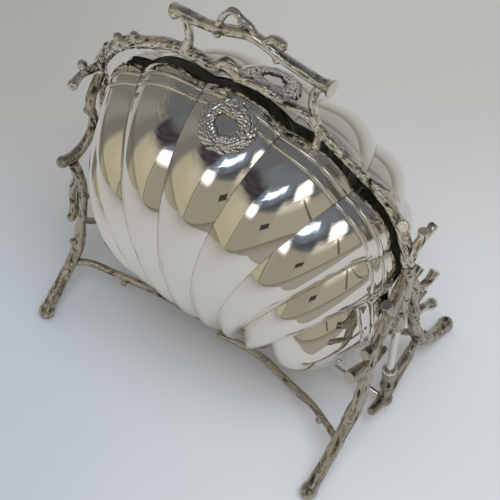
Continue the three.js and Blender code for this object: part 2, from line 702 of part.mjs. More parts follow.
/** A half bowl with its wreath and hinge leaf, in a group that turns on the hinge line. */
function bowlGroup(side) {
  const front = side === "front";
  const group = new THREE.Group();
  group.name = `${side}_bowl_group`;
  group.position.z = HINGE_Z;
  group.rotation.z = front ? 0 : Math.PI;
  const lowered = (geometry) => geometry.translate(0, 0, -HINGE_Z);
  group.add(
    piece(`${side}_shell`, lowered(bowlGeometry()), "polished"),
    piece(`${side}_wreath`, lowered(wreathGeometry()), "bark"),
    piece(`${side}_hinge_leaf`, lowered(geometryOf(hingeLeaf(front ? 0 : 1))), "smooth"),
  );
  return group;
}

const group = new THREE.Group();
group.name = "biscuit_box";
group.add(frameGroup(), bowlGroup("front"), bowlGroup("rear"));

export default group;
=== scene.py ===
"""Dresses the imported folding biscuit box: bark branches, fluted bowls, wreaths and the studio.

Lengths in the tables are millimetres in the row frame; meshes are made in metres.
"""

import logging
import math
from dataclasses import dataclass, field, replace
from enum import Enum
from functools import cache, reduce
from typing import Callable, Sequence

import bpy
import numpy as np
from mathutils import Matrix, Vector


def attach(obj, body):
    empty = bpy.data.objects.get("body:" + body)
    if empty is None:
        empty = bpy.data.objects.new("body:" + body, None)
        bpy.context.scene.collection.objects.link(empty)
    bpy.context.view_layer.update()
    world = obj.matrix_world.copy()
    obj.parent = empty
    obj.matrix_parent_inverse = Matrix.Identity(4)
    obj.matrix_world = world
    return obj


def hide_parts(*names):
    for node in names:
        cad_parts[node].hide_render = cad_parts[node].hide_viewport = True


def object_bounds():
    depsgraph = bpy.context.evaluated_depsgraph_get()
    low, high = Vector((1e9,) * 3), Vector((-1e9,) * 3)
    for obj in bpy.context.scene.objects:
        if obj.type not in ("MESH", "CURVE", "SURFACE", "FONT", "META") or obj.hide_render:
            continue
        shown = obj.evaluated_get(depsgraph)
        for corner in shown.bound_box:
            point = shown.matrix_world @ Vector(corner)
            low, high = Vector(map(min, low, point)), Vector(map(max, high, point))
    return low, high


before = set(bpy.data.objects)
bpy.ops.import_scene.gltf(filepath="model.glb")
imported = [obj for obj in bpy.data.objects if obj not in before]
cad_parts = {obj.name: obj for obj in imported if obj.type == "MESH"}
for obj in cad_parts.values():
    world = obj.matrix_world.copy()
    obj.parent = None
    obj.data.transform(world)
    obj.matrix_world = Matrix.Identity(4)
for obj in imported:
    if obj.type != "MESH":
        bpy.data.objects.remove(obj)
CAD_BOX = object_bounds()

LOG = logging.getLogger("biscuit_box")
MM = 0.001

Array = np.ndarray
Shape = tuple[Array, list]
Socket = bpy.types.NodeSocket
Source = Socket | float

# Main sizes of the frame, as in the solids.
FOOT_X = 125.0
FOOT_Y = 89.6
FOOT_R = 6.3
FOOT_CUT = 0.5
POST_X = 128.0
BARK_R = 4.6
KNOB_R = 4.6
KNOB_X = POST_X + 3.4
HINGE_Z = 18.0
BOSS_R = 6.2
POST_TOP_Z = 187.0
ROD_TOP_Z = 113.0
COLLAR_TOP_Z = 60.0
COLLAR_Z = 56.5
RIM_Y = 4.0
FIT = 0.3

# Length between two samples of a twig's centre line.
LINE_STEP = 0.8
# Turns what is made for the front half bowl to the rear one.
TURNED_BACK = np.array([-1, -1, 1])
# Large odd numbers that mix the cell and the seed of a noise into one number.
CELL_MIX = np.array([374761393, 668265263, 2147483647])
SEED_MIX = 974634777
LAST_MIX = 1274126177


class Slot(Enum):
    """The record's material slots."""

    BARK = "bark"
    SMOOTH = "smooth"
    POLISHED = "polished"
    DARK = "dark"


class Body(Enum):
    """The bodies that pieces ride on."""

    FRAME = "frame"
    FRONT = "front_bowl"
    REAR = "rear_bowl"


class Side(Enum):
    """The two sides of the box, with a half bowl on each."""

    FRONT = "front"
    REAR = "rear"

    def body(self) -> Body:
        """The body of this side's half bowl."""
        return Body(f"{self.value}_bowl")

    def turned(self, places: Array) -> Array:
        """Places made for the front half bowl, turned to this side."""
        return places * TURNED_BACK if self is Side.REAR else places


class End(Enum):
    """The two ends of the box, with a post at each."""

    RIGHT = "right"
    LEFT = "left"

    def x(self) -> float:
        """Where the post stands."""
        return POST_X if self is End.RIGHT else -POST_X


def lattice_noise(places: Array, seed: int) -> Array:
    """Smooth noise over space.

    Args:
        places: Points, one row each, one cell per unit.
        seed: Picks one noise out of many.

    Returns:
        A value from -1 to 1 for each point.
    """
    base = np.floor(places).astype(np.int64)
    part = places - base
    ease = part * part * (3 - 2 * part)
    total = np.zeros(len(places))
    for corner in np.ndindex(2, 2, 2):
        mixed = (base + corner) @ CELL_MIX + seed * SEED_MIX
        mixed = (mixed ^ (mixed >> 13)) * LAST_MIX
        value = ((mixed ^ (mixed >> 16)) & 0xFFFF) / 32767.5 - 1
        total += value * np.prod(np.where(corner, ease, 1 - ease), axis=1)
    return total


def smoothstep(low: float, high: float, value: Array) -> Array:
    """Eased share of the way from low to high."""
    share = np.clip((value - low) / (high - low), 0, 1)
    return share * share * (3 - 2 * share)


def unit(ways: Array) -> Array:
    """Directions of length 1."""
    return ways / np.maximum(1e-9, np.linalg.norm(ways, axis=-1, keepdims=True))


def hermite(s: Array, start: Array, leave: Array, end: Array, reach: Array) -> Array:
    """The cubic from start to end that leaves and arrives with the given slopes."""
    return ((2 * s**3 - 3 * s**2 + 1) * start + (s**3 - 2 * s**2 + s) * leave
            + (3 * s**2 - 2 * s**3) * end + (s**3 - s**2) * reach)


def joined(shapes: Sequence[Shape]) -> Shape:
    """Several closed shapes as one.

    Args:
        shapes: The closed shapes.

    Returns:
        One list of points and one of faces.
    """
    points, faces, start = [], [], 0
    for places, sides in shapes:
        points.append(places)
        faces += [[corner + start for corner in face] for face in sides]
        start += len(places)
    return np.vstack(points), faces


def mesh_of(name: str, shape: Shape) -> bpy.types.Mesh:
    """A smooth-shaded mesh.

    Args:
        name: Name of the mesh.
        shape: The shape, in millimetres.

    Returns:
        The mesh, in metres.
    """
    mesh = bpy.data.meshes.new(name)
    mesh.from_pydata((shape[0] * MM).tolist(), [], [list(face) for face in shape[1]])
    mesh.validate()
    mesh.shade_smooth()
    return mesh


def places_of(mesh: bpy.types.Mesh) -> Array:
    """The mesh's points in millimetres, one row each."""
    flat = np.zeros(len(mesh.vertices) * 3)
    mesh.vertices.foreach_get("co", flat)
    return flat.reshape(-1, 3) / MM


def edges_of(mesh: bpy.types.Mesh) -> Array:
    """The two point numbers of each edge, one row each."""
    pairs = np.zeros(len(mesh.edges) * 2, np.int64)
    mesh.edges.foreach_get("vertices", pairs)
    return pairs.reshape(-1, 2)


def write_places(mesh: bpy.types.Mesh, places: Array) -> None:
    """Moves the mesh's points, kept just inside the outer box of the solids.

    Args:
        mesh: The mesh to change.
        places: Its points, in millimetres.
    """
    low, high = (np.array(corner) / MM for corner in CAD_BOX)
    margin = 0.02
    kept = np.clip(places, low + margin, high - margin)
    mesh.vertices.foreach_set("co", (kept * MM).ravel())
    mesh.update()


def write_mask(mesh: bpy.types.Mesh, name: str, values: Array) -> None:
    """Stores one number for each point, which the materials read by name."""
    mask = mesh.attributes.new(name, "FLOAT", "POINT")
    mask.data.foreach_set("value", values.astype(np.float32))


def added(name: str, data: bpy.types.ID) -> bpy.types.Object:
    """Puts a new object into the scene."""
    piece = bpy.data.objects.new(name, data)
    bpy.context.scene.collection.objects.link(piece)
    return piece


def placed(node: str, made: str, mesh: bpy.types.Mesh, body: Body, slot: Slot,
           *finishes: "SilverFinish") -> bpy.types.Object:
    """Puts a finished mesh into the scene for the solid that it stands for.

    Args:
        node: The solid that it replaces.
        made: How it is made, which its name ends with.
        mesh: Its mesh, in place.
        body: The body that it moves with.
        slot: The record's material slot; not used.
        finishes: Its finishes, in the order of the mesh's material numbers.

    Returns:
        The new object.
    """
    for finish in finishes:
        mesh.materials.append(finish.material())
    piece = added(f"{node}_{made}", mesh)
    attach(piece, body.value)
    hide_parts(node)
    LOG.info("%s: %d faces on %s", piece.name, len(mesh.polygons), body.value)
    return piece


def turned(profile: Sequence[tuple[float, float]], sides: int = 56) -> Shape:
    """A closed ring or rod turned about Z.

    Args:
        profile: Closed outline of radius and height, in order; a radius of 0 gives a solid end.
        sides: Facets round the axis.

    Returns:
        The shape, upright on the origin.
    """
    angles = np.arange(sides) / sides * 2 * math.pi
    plan = np.stack([np.cos(angles), np.sin(angles)], axis=1)
    rings = [np.column_stack([plan * radius, np.full(sides, z)]) for radius, z in profile]
    open_ends = profile[0][0] > 0 and profile[-1][0] > 0
    faces = []
    for i in range(len(profile) if open_ends else len(profile) - 1):
        a, b = i * sides, ((i + 1) % len(profile)) * sides
        for j in range(sides):
            k = (j + 1) % sides
            faces.append([a + j, a + k, b + k, b + j])
    return welded(np.vstack(rings), faces)


def welded(points: Array, faces: list) -> Shape:
    """Makes one of points that coincide and drops faces that are left without area.

    Args:
        points: The points, one row each.
        faces: The point numbers of each face.

    Returns:
        The same shape, closed.
    """
    unique, index = np.unique(np.round(points, 5), axis=0, return_inverse=True)
    index = index.ravel()
    kept = []
    for face in faces:
        corners = []
        for corner in (int(index[c]) for c in face):
            if corner not in corners:
                corners.append(corner)
        if len(corners) > 2:
            kept.append(corners)
    return unique, kept


def moved(shape: Shape, x: float = 0, y: float = 0, z: float = 0) -> Shape:
    """The shape shifted by millimetres."""
    return shape[0] + np.array([x, y, z]), shape[1]


def laid_along_x(shape: Shape) -> Shape:
    """An upright shape laid down so that its axis runs along X."""
    x, y, z = shape[0].T
    return np.column_stack([z, y, -x]), shape[1]


def closed_faces(at: Array) -> tuple[Array, Array, Array]:
    """Faces of a thin sheet: its two skins and the edge between them.

    Args:
        at: Point number at each column and row of the outer skin; the inner skin's points follow
            in the same order.

    Returns:
        The faces of the outer skin, of the inner skin and of the edge, with four corners each.
    """
    a, b, c, d = (part.ravel() for part in (at[:-1, :-1], at[:-1, 1:], at[1:, 1:], at[1:, :-1]))
    loop = np.concatenate([at[:-1, 0], at[-1, :-1], at[:0:-1, -1], at[0, :0:-1]])
    ahead = np.roll(loop, -1)
    return (np.stack([a, b, c, d], 1), np.stack([a, d, c, b], 1) + at.size,
            np.stack([loop, ahead, ahead + at.size, loop + at.size], 1))


@dataclass
class Cast:
    """The twigs and knobs of one cast piece, each place as [x, y, z, radius]."""

    twigs: list = field(default_factory=list)
    knobs: list = field(default_factory=list)

    def mapped(self, change: Callable[[list], list]) -> "Cast":
        """The same piece with every place changed."""
        twigs = [[change(place) for place in twig] for twig in self.twigs]
        return Cast(twigs, [change(place) for place in self.knobs])

    def shifted(self, x: float = 0, z: float = 0) -> "Cast":
        """The same piece moved along X and up."""
        return self.mapped(lambda p: [p[0] + x, p[1], p[2] + z, p[3]])

    def at(self, end: End) -> "Cast":
        """The same piece at one end of the box, from how it is at the right end."""
        return self.mapped(lambda p: [-p[0], *p[1:]]) if end is End.LEFT else self

    def on(self, side: Side) -> "Cast":
        """The same piece on one side of the box, from how it is at the front."""
        return self.mapped(lambda p: [p[0], -p[1], *p[2:]]) if side is Side.REAR else self


def foot(side: int, front: int) -> list:
    """The round foot of one leg."""
    return [side * FOOT_X, front * FOOT_Y, FOOT_R - FOOT_CUT, FOOT_R]


# The arch over the bowls, from post to post. It and the handle are given from the post tops up.
ARCH = Cast([
    [
        [-POST_X, 0, 0, BARK_R], [-130, 0, 14, 4.8], [-121, 0, 33, 4.8], [-105, 0, 52, 4.8],
        [-82, 0, 67, 4.4], [-61, 0, 77, 4.1], [-45, 0, 79, 4.5], [-29, 0, 79, 3.8],
        [-22, 0, 85, 4.2], [-8, 0, 83, 3.8], [11, 0, 85, 3.9], [26, 0, 83, 3.4], [45, 0, 82, 3.7],
        [57, 0, 74, 3.4], [77, 0, 63, 3.1], [94, 0, 54, 3.1], [105, 0, 46.5, 3.2],
        [116, 0, 34, 3.8], [124, 0, 16, 4.3], [POST_X - 1, 0, 0, BARK_R],
    ],
    [[116, 0, 35, 4], [120.5, -5, 41, 3.8], [124.5, -10, 47, 4.2]],
    [[53, 0, 76, 3], [54, -4, 71, 2.6], [55, -8, 67, 2.6]],
    [[-26, 0, 81, 3.4], [-20, 0, 89, 3.5], [-8, 0, 88, 2.8]],
    [[90, 0, 56, 2.2], [99, 1, 55.5, 2.1], [106, 1, 53.5, 2.3]],
], knobs=[
    [-122, 1, 37, 3.5], [-112, 1, 52, 3.5], [-96, 0, 64, 3.6], [84, -1, 62, 2.8], [88, -1, 60, 2.6],
]).shifted(z=POST_TOP_Z)

# The bar of the handle, with flared cut ends.
HANDLE_BAR = Cast([
    [
        [-60.5, 0, 108, 5.6], [-56, 0, 110.5, 4], [-45, 0, 111, 4.1], [-36, 0, 112, 3.8],
        [-24, 0, 115, 4.1], [-12, 0, 120, 3.9], [-1, 0, 124, 3.9], [10, 0, 123, 3.7],
        [22, 0, 120, 3.7], [38, 0, 118, 3.7], [50, 0, 117, 3.9], [56, 0, 117, 4.3],
        [59.5, 0, 117, 6.4],
    ],
], knobs=[[-25, -2, 112, 3], [20, -2, 118, 2.8]]).shifted(z=POST_TOP_Z)

LEFT_STRUT = Cast([
    [[-52, 0, 112, 3.5], [-49.5, 0, 102, 3.1], [-48.5, 0, 92, 3.1], [-52, 0, 80, 4.2]],
]).shifted(z=POST_TOP_Z)

RIGHT_STRUT = Cast([
    [[52, 0, 116, 3.2], [47.5, 0, 106, 2.9], [46.5, 0, 94, 2.9], [50, 0, 81, 3.8]],
]).shifted(z=POST_TOP_Z)

# A bent twig on the bar that comes down to two knots, and a bud on a short stem.
FORK_ON_BAR = Cast([
    [
        [-26, 0, 117, 2.4], [-20, 0, 130, 2.2], [-14, 0, 136, 2.4], [-8, 0, 133, 2.6],
        [-1, 0, 130, 2.4], [5, 0, 124, 2.1],
    ],
], knobs=[[-7, -1, 131, 2.9]]).shifted(z=POST_TOP_Z)

BUD_ON_BAR = Cast([
    [[9, 0, 124, 2.2], [16, 0, 131, 2.9], [22, 0, 131, 3.2]],
], knobs=[[23, -1, 131, 3.5], [11, -2, 128, 2.6]]).shifted(z=POST_TOP_Z)

# The bark branch of an end post, from the smooth rod up to the arch.
POST = Cast([
    [
        [POST_X, 0, ROD_TOP_Z + FIT, 4.4], [POST_X, 0, ROD_TOP_Z + 15, 5],
        [POST_X, 0, POST_TOP_Z - 42, BARK_R], [POST_X, 0, POST_TOP_Z - 27, 5],
        [POST_X, 0, POST_TOP_Z - 12, BARK_R], [POST_X, 0, POST_TOP_Z, BARK_R],
    ],
])

# The lower piece of an end post. It stands on the boss that holds the end of the hinge rod.
POST_FOOT = Cast([
    [
        [POST_X, 0, HINGE_Z, 3.6], [POST_X, 0, 30, 3.8], [POST_X, 0, 42, 4.4],
        [POST_X, 0, COLLAR_Z - FIT, 5],
    ],
], knobs=[[POST_X, -2, 40, 4.6]])

# Front leg on the right, with its cut stubs.
FRONT_LEG_RIGHT = Cast([
    [
        [FOOT_X, -FOOT_Y, FOOT_R, 5], [FOOT_X, -79, 13, 4.8], [FOOT_X, -65, 23, 4.6],
        [FOOT_X, -50, 39, 4.6], [125.4, -41, 51, 5.4], [125.8, -34, 61, 4.4], [126.2, -31, 78, 4.2],
        [126.8, -31, 97, 4.4], [127.3, -30, 115, 4.2], [127.7, -23, 132, 4.2],
        [POST_X, -17, POST_TOP_Z - 41, 4.2], [POST_X, -9, POST_TOP_Z - 24, 4.2],
        [POST_X, 0, POST_TOP_Z - 9, 4],
    ],
    [[126.4, -32, 84, 3.4], [126.6, -37, 72, 3.8], [127, -41, 58, 3.4]],
    [[126.8, -30, 104, 4], [125.6, -42, 109, 4.4], [124.8, -52, 112, 4.8]],
    [[127.4, -26, 122, 3.6], [127.6, -34, 126, 3.8], [127.8, -41, 129, 4]],
    [
        [POST_X, -15, POST_TOP_Z - 38, 3.6], [POST_X, -19, POST_TOP_Z - 29, 3.6],
        [POST_X, -22, POST_TOP_Z - 21, 3.8],
    ],
    [[127, -30, 98, 2.4], [127.5, -20, 101, 2.4], [POST_X, -12, 103, 2.2]],
], knobs=[foot(1, -1), [125.6, -45, 49, 3.6]])

# Front leg on the left, up to the knot of the crooked twig.
FRONT_LEG_LEFT = Cast([
    [
        [-FOOT_X, -FOOT_Y, FOOT_R, 5], [-FOOT_X, -70, 23, 4.7], [-125.3, -55, 36, 4.6],
        [-125.6, -47, 46, 4.8], [-126, -42, 64, 4.2], [-126.5, -38, 79, 4.2], [-127, -35, 100, 4.2],
        [-127.5, -36, 118, 4.2], [-POST_X, -39, 134, 4],
    ],
    [[-126.2, -40, 70, 2.6], [-124.5, -33, 62, 2.6], [-123.5, -27, 56, 2.4]],
], knobs=[foot(-1, -1), [-126.6, -51, 53, 3.2], [-127, -34, 92, 4.6]])

# The crooked twig that carries on from the left front leg to the arch.
CROOK = Cast([
    [
        [-KNOB_X, -45, 139, 3.8], [-POST_X - 2, -36, 137, 4.2], [-POST_X - 1, -25, 141, 3.6],
        [-POST_X - 1, -16, POST_TOP_Z - 38, 3.5], [-POST_X - 1, -13, POST_TOP_Z - 27, 3.5],
        [-POST_X - 1, -15, POST_TOP_Z - 16, 3.7], [-POST_X - 1, -12, POST_TOP_Z - 4, 3.8],
        [-POST_X - 1, 0, POST_TOP_Z + 9, 3.8],
    ],
], knobs=[[-KNOB_X, -46, 139, KNOB_R], [-POST_X - 1.5, -18, POST_TOP_Z - 16, 2.8]])

# A long thin twig lies along the left front leg.
SPUR_LEFT = Cast([
    [
        [-POST_X - 1, -46, 76, 3], [-POST_X - 2.5, -42.5, 88, 2.6], [-POST_X - 2.5, -41, 104, 2.6],
        [-POST_X + 0.5, -37, 117, 3.2],
    ],
], knobs=[[-POST_X - 1.4, -47, 77, 3.6]])

FORK_LEFT = Cast([
    [[-2, 0, 14, 3.6], [-2, -7, 17, 3.2], [-1.5, -13, 20, 3], [-1, -18, 28, 3]],
    [[-1.6, -12, 19, 3], [-1.6, -19, 21, 2.8], [-2, -26, 19, 3.2]],
], knobs=[[-1, -18, 30, 3.8], [-2, -28, 18, 4]]).shifted(-POST_X, POST_TOP_Z)

SIDE_TWIG_LEFT = Cast([
    [[0, 0, -15, 3], [-1, 7, -18, 3], [-2, 13, -24, 3.2]],
]).shifted(-POST_X, POST_TOP_Z)

FORK_RIGHT = Cast([
    [[0, 0, 6, 3.8], [2, 1, 18, 3.4], [3, 5, 25, 3], [3, 6, 32, 3.6]],
    [[2.6, 3, 21, 2.8], [3.4, 12, 24, 2.8], [3.6, 18, 26, 3.4]],
]).shifted(POST_X, POST_TOP_Z)

SIDE_TWIG_RIGHT = Cast([
    [[0, 0, -23, 3], [1.5, 7, -19, 3], [2.5, 13, -15, 3.4]],
]).shifted(POST_X, POST_TOP_Z)

CURVED_TWIG_RIGHT = Cast([
    [[0, 14, 146, 3.2], [2, 22, 139, 3.4], [3, 30, 139, 3.2], [3.5, 35, 144, 3.8]],
]).shifted(POST_X)

KNOB_TWIG_RIGHT = Cast([
    [[POST_X - 1, 24, 98, 3.2], [POST_X + 1, 31, 101, 3], [POST_X + 3, 38, 99, 3.2]],
], knobs=[[KNOB_X, 40, 98, KNOB_R]])

# A rear leg mirrors a front leg, with its own small cut stubs.
REAR_LEG_RIGHT = Cast([
    [
        [FOOT_X, FOOT_Y, FOOT_R, 5], [FOOT_X, 75, 11, 4.8], [FOOT_X, 56, 26, 4.8],
        [125.3, 43, 45, 4.6], [126, 35, 64, 4.4], [126.6, 28, 84, 4.4], [127.2, 23, 104, 4.4],
        [127.8, 17, 130, 4.2], [POST_X, 9, POST_TOP_Z - 29, 4.2], [POST_X, 0, POST_TOP_Z - 13, 4],
    ],
    [[127, 25, 118, 3], [128, 32, 122, 2.8]],
], knobs=[foot(1, 1), [126, 38, 58, 5.2]])

# A low brace runs from each rear leg in to the lower piece of the post.
REAR_BRACE_RIGHT = Cast([
    [[125.2, 43, 44, 3.2], [125.6, 29, 36, 3.4], [126.4, 15, 36, 3.2], [POST_X, 0, 40, 3]],
])

# The low twig across each end. Its ball holds the end of the hinge rod.
END_TWIG_RIGHT = Cast([
    [
        [126.4, 34, 37, 3], [127, 18, 27, 3.2], [127, 8, HINGE_Z + 1, 3.6],
        [127.2, -8, HINGE_Z, 3.6], [127, -17, HINGE_Z + 2, 3.2],
    ],
], knobs=[[POST_X, 0, HINGE_Z, BOSS_R]])

# Two slender twigs overlap to join the front legs low down; the rear has the same pair.
STRETCHER_LEFT = Cast([
    [
        [-FOOT_X, -55, 33, 3], [-116, -47, 30, 2.8], [-101, -41, 25.5, 2.7], [-84, -34.5, 19.5, 3],
        [-66, -28, 13.5, 2.7], [-44, -25, 11, 2.8], [-21, -23, 10, 2.7], [-7, -21.5, 10, 2.7],
        [5, -22, 10.5, 2.2],
    ],
    [[-89, -36, 21, 2.2], [-89, -40.5, 16, 2.2]],
], knobs=[[-44, -26, 12, 3.2], [-15, -23, 9.5, 3]])

STRETCHER_RIGHT = Cast([
    [
        [FOOT_X, -57, 32, 3], [115, -52, 31, 2.8], [105, -47, 28.5, 2.6], [92.5, -40.5, 24, 2.6],
        [82, -36.5, 19.5, 3], [68.5, -32, 14.5, 2.9], [53, -27.5, 11.5, 2.7], [38, -24, 10.5, 2.8],
        [23, -23.5, 10.5, 2.6], [8.5, -25, 11, 2.5], [-6, -28, 11, 2.3],
    ],
    [[81, -37, 19, 2.4], [76, -37, 19.5, 2.4]],
    [[105.5, -46.5, 28.5, 2.2], [102, -49.5, 25, 2.4]],
], knobs=[[41, -25.5, 11.5, 3.2]])


@dataclass(frozen=True)
class Bark:
    """How deep and close the furrows of a cast branch are."""

    depth: float
    furrows: float
    run: float
    twist: float
    warts: float
    wart_height: float


RUGGED = Bark(depth=0.3, furrows=1.35, run=5.5, twist=0.05, warts=0.2, wart_height=1.1)
PLAIN = Bark(depth=0.22, furrows=1.2, run=9.0, twist=0.03, warts=0.1, wart_height=0.8)
WORN = Bark(depth=0.11, furrows=1.0, run=13.0, twist=0.02, warts=0.06, wart_height=0.6)


@dataclass
class Line:
    """A twig's centre line, finely sampled, with a frame that doesn't twist."""

    places: Array
    radii: Array
    along: Array
    side: Array
    up: Array
    lengths: Array

    @classmethod
    def through(cls, stations: list, step: float) -> "Line":
        """The smooth line through [x, y, z, radius] stations.

        Args:
            stations: The twig's places.
            step: Length between two samples, in millimetres.

        Returns:
            The sampled line.
        """
        given = np.array(stations, float)
        points, radii = given[:, :3], given[:, 3]
        guide = np.vstack([2 * points[0] - points[1], points, 2 * points[-1] - points[-2]])
        rows, sizes = [], []
        for i in range(len(points) - 1):
            p0, p1, p2, p3 = guide[i:i + 4]
            d0, d1, d2 = (max(1e-3, np.linalg.norm(b - a) ** 0.5)
                          for a, b in ((p0, p1), (p1, p2), (p2, p3)))
            leave = ((p1 - p0) / d0 - (p2 - p0) / (d0 + d1) + (p2 - p1) / d1) * d1
            reach = ((p2 - p1) / d1 - (p3 - p1) / (d1 + d2) + (p3 - p2) / d2) * d1
            count = max(2, math.ceil(np.linalg.norm(p2 - p1) / step))
            s = np.linspace(0, 1, count, endpoint=i == len(points) - 2)[:, None]
            rows.append(hermite(s, p1, leave, p2, reach))
            sizes.append(radii[i] + (radii[i + 1] - radii[i]) * smoothstep(0, 1, s[:, 0]))
        places, sizes = np.vstack(rows), np.concatenate(sizes)
        along = unit(np.gradient(places, axis=0))
        side, up = np.zeros_like(along), np.zeros_like(along)
        steep = abs(along[0][2]) >= 0.9
        last = np.array([1.0, 0.0, 0.0] if steep else [0.0, 0.0, 1.0])
        for i, direction in enumerate(along):
            last = unit(last - direction * (last @ direction))
            side[i], up[i] = last, np.cross(direction, last)
        steps = np.linalg.norm(np.diff(places, axis=0), axis=1)
        return cls(places, sizes, along, side, up, np.concatenate([[0], np.cumsum(steps)]))

    def tube(self, sides: int = 20) -> Shape:
        """The closed round tube along this line.

        Args:
            sides: Facets round the line.

        Returns:
            The tube with flat ends.
        """
        angles = np.arange(sides) / sides * 2 * math.pi
        ring = (self.side[:, None] * np.cos(angles)[None, :, None]
                + self.up[:, None] * np.sin(angles)[None, :, None])
        points = (self.places[:, None] + ring * self.radii[:, None, None]).reshape(-1, 3)
        faces = []
        for a in range(0, len(points) - sides, sides):
            for j in range(sides):
                k = (j + 1) % sides
                faces.append([a + j, a + k, a + sides + k, a + sides + j])
        first, last = list(range(sides))[::-1], list(range(len(points) - sides, len(points)))
        return points, [*faces, first, last]


def ball(place: list, sides: int = 20) -> Shape:
    """A closed round knob.

    Args:
        place: Its middle and radius as [x, y, z, radius].
        sides: Facets round it.

    Returns:
        The knob, in place.
    """
    x, y, z, radius = place
    rings = sides // 2
    heights = [-math.cos(math.pi * i / rings) for i in range(rings + 1)]
    profile = [(radius * math.sqrt(max(0.0, 1 - h * h)), radius * h) for h in heights]
    return moved(turned(profile, sides), x, y, z)


@dataclass
class Branch:
    """One cast branch of the frame, fused from its twigs and knobs and given its bark.

    Fusing leaves steps of a voxel, which relaxing evens out. A point belongs to a cut end where it
    lies near the end of a twig, close to its tube, and faces along it.
    """

    node: str
    cast: Cast
    dress: "Dress"
    seed: int
    voxel: float = 0.5
    relax_rounds: int = 3
    relax_share: float = 0.6
    twig_apart: float = 37.0
    crest: float = 2.6
    cut_reach: float = 0.35
    cut_facing: float = 0.75
    cut_gap: float = 1.2
    block: int = 4096

    @property
    def bark(self) -> Bark:
        """The bark that it is dressed in."""
        return self.dress.bark

    def build(self) -> bpy.types.Object:
        """Fuses the twigs, raises the bark and puts the branch in place.

        Returns:
            The branch's object.
        """
        lines = [Line.through(twig, LINE_STEP) for twig in self.cast.twigs]
        tubes, knobs = [line.tube() for line in lines], [ball(knob) for knob in self.cast.knobs]
        mesh = self.fused(tubes + knobs)
        places = self.relaxed(mesh)
        relief, cut, rise = self.bark_at(lines, places, self.normals(mesh, places))
        places = places + self.normals(mesh, places) * rise[:, None]
        if "leg" in self.node:
            places[:, 2] = np.maximum(places[:, 2], 0)
        write_places(mesh, places)
        write_mask(mesh, "relief", relief)
        write_mask(mesh, "cut", cut)
        return placed(self.node, "bark", mesh, Body.FRAME, self.dress.slot, self.dress.finish)

    def fused(self, shapes: Sequence[Shape]) -> bpy.types.Mesh:
        """One closed skin round all the shapes.

        Args:
            shapes: Closed shapes that overlap.

        Returns:
            The skin's mesh.
        """
        rough = mesh_of("rough", joined(shapes))
        holder = added("rough", rough)
        fuse = holder.modifiers.new("fuse", "REMESH")
        fuse.mode = "VOXEL"
        fuse.voxel_size = self.voxel * 1 * MM
        graph = bpy.context.evaluated_depsgraph_get()
        skin = bpy.data.meshes.new_from_object(holder.evaluated_get(graph))
        bpy.data.objects.remove(holder)
        bpy.data.meshes.remove(rough)
        skin.name = self.node
        skin.shade_smooth()
        return skin

    def relaxed(self, mesh: bpy.types.Mesh) -> Array:
        """Evens out the steps that fusing leaves.

        Args:
            mesh: The fused skin.

        Returns:
            New places for its points, in millimetres.
        """
        places = places_of(mesh)
        a, b = edges_of(mesh).T
        size = len(places)
        count = np.maximum(1, np.bincount(a, minlength=size) + np.bincount(b, minlength=size))
        for _ in range(self.relax_rounds):
            mean = np.zeros_like(places)
            for axis, column in enumerate(places.T):
                total = np.bincount(a, column[b], size) + np.bincount(b, column[a], size)
                mean[:, axis] = total / count
            places = places * (1 - self.relax_share) + mean * self.relax_share
        return places

    @staticmethod
    def normals(mesh: bpy.types.Mesh, places: Array) -> Array:
        """Moves the mesh's points and finds the outward direction at each.

        Args:
            mesh: The skin.
            places: New places for its points, in millimetres.

        Returns:
            One direction of length 1 for each point.
        """
        mesh.vertices.foreach_set("co", (places * MM).ravel())
        mesh.update()
        flat = np.zeros(len(places) * 3)
        mesh.vertex_normals.foreach_get("vector", flat)
        return flat.reshape(-1, 3)

    def bark_at(self, lines: list[Line], places: Array,
                normals: Array) -> tuple[Array, Array, Array]:
        """Furrows, warts and cut ends at each point of the skin.

        Args:
            lines: The twigs' centre lines.
            places: Points of the smooth skin.
            normals: Outward directions there.

        Returns:
            Relief from 0 in a furrow to 1 on a ridge, lowered on faces that turn down as painted
            shade, the mask of cut ends, and the rise in millimetres.
        """
        def field_of(name: str) -> Array:
            """One field of all the lines, end to end."""
            return np.concatenate([getattr(line, name) for line in lines])

        centre, radius = field_of("places"), field_of("radii")
        nearest, gap = self.nearest(places, centre, radius)
        along, side, up, length = (field_of(name)[nearest]
                                   for name in ("along", "side", "up", "lengths"))
        counts = [len(line.radii) for line in lines]
        apart = np.repeat(self.twig_apart * np.arange(len(lines)), counts)
        start = (field_of("lengths") + apart)[nearest]
        total = np.repeat([line.lengths[-1] for line in lines], counts)[nearest]
        offset = places - centre[nearest]
        step = (offset * along).sum(1)
        outward = unit(offset - along * step[:, None])
        turn = np.arctan2((outward * up).sum(1), (outward * side).sum(1))
        turn = turn + self.bark.twist * (start + step)
        raw = self.pattern(turn, (start + step) / self.bark.run, places)
        for height, spot, width in self.warts(centre, radius):
            far = ((places - spot) ** 2).sum(1)
            raw += height * np.exp(-far / (2 * width * width)) / max(0.2, self.bark.depth * 3)
        reach = length + step
        beyond = (reach < self.cut_reach) | (reach > total - self.cut_reach)
        facing = np.abs((normals * along).sum(1)) > self.cut_facing
        cut = (beyond & facing & (gap < self.cut_gap)).astype(float)
        raw = raw * (1 - 0.5 * smoothstep(0.6, 1.6, gap))
        # Faces that turn down get lower relief and so more toning: painted shade on the undersides.
        below = smoothstep(-0.1, 0.9, -normals[:, 2])
        relief = np.clip(0.5 + 0.5 * raw - 0.3 * below, 0, 1)
        thick = np.minimum(radius[nearest], BARK_R)
        return relief, cut, self.bark.depth * thick * 0.5 * (raw - 0.15) * (1 - cut)

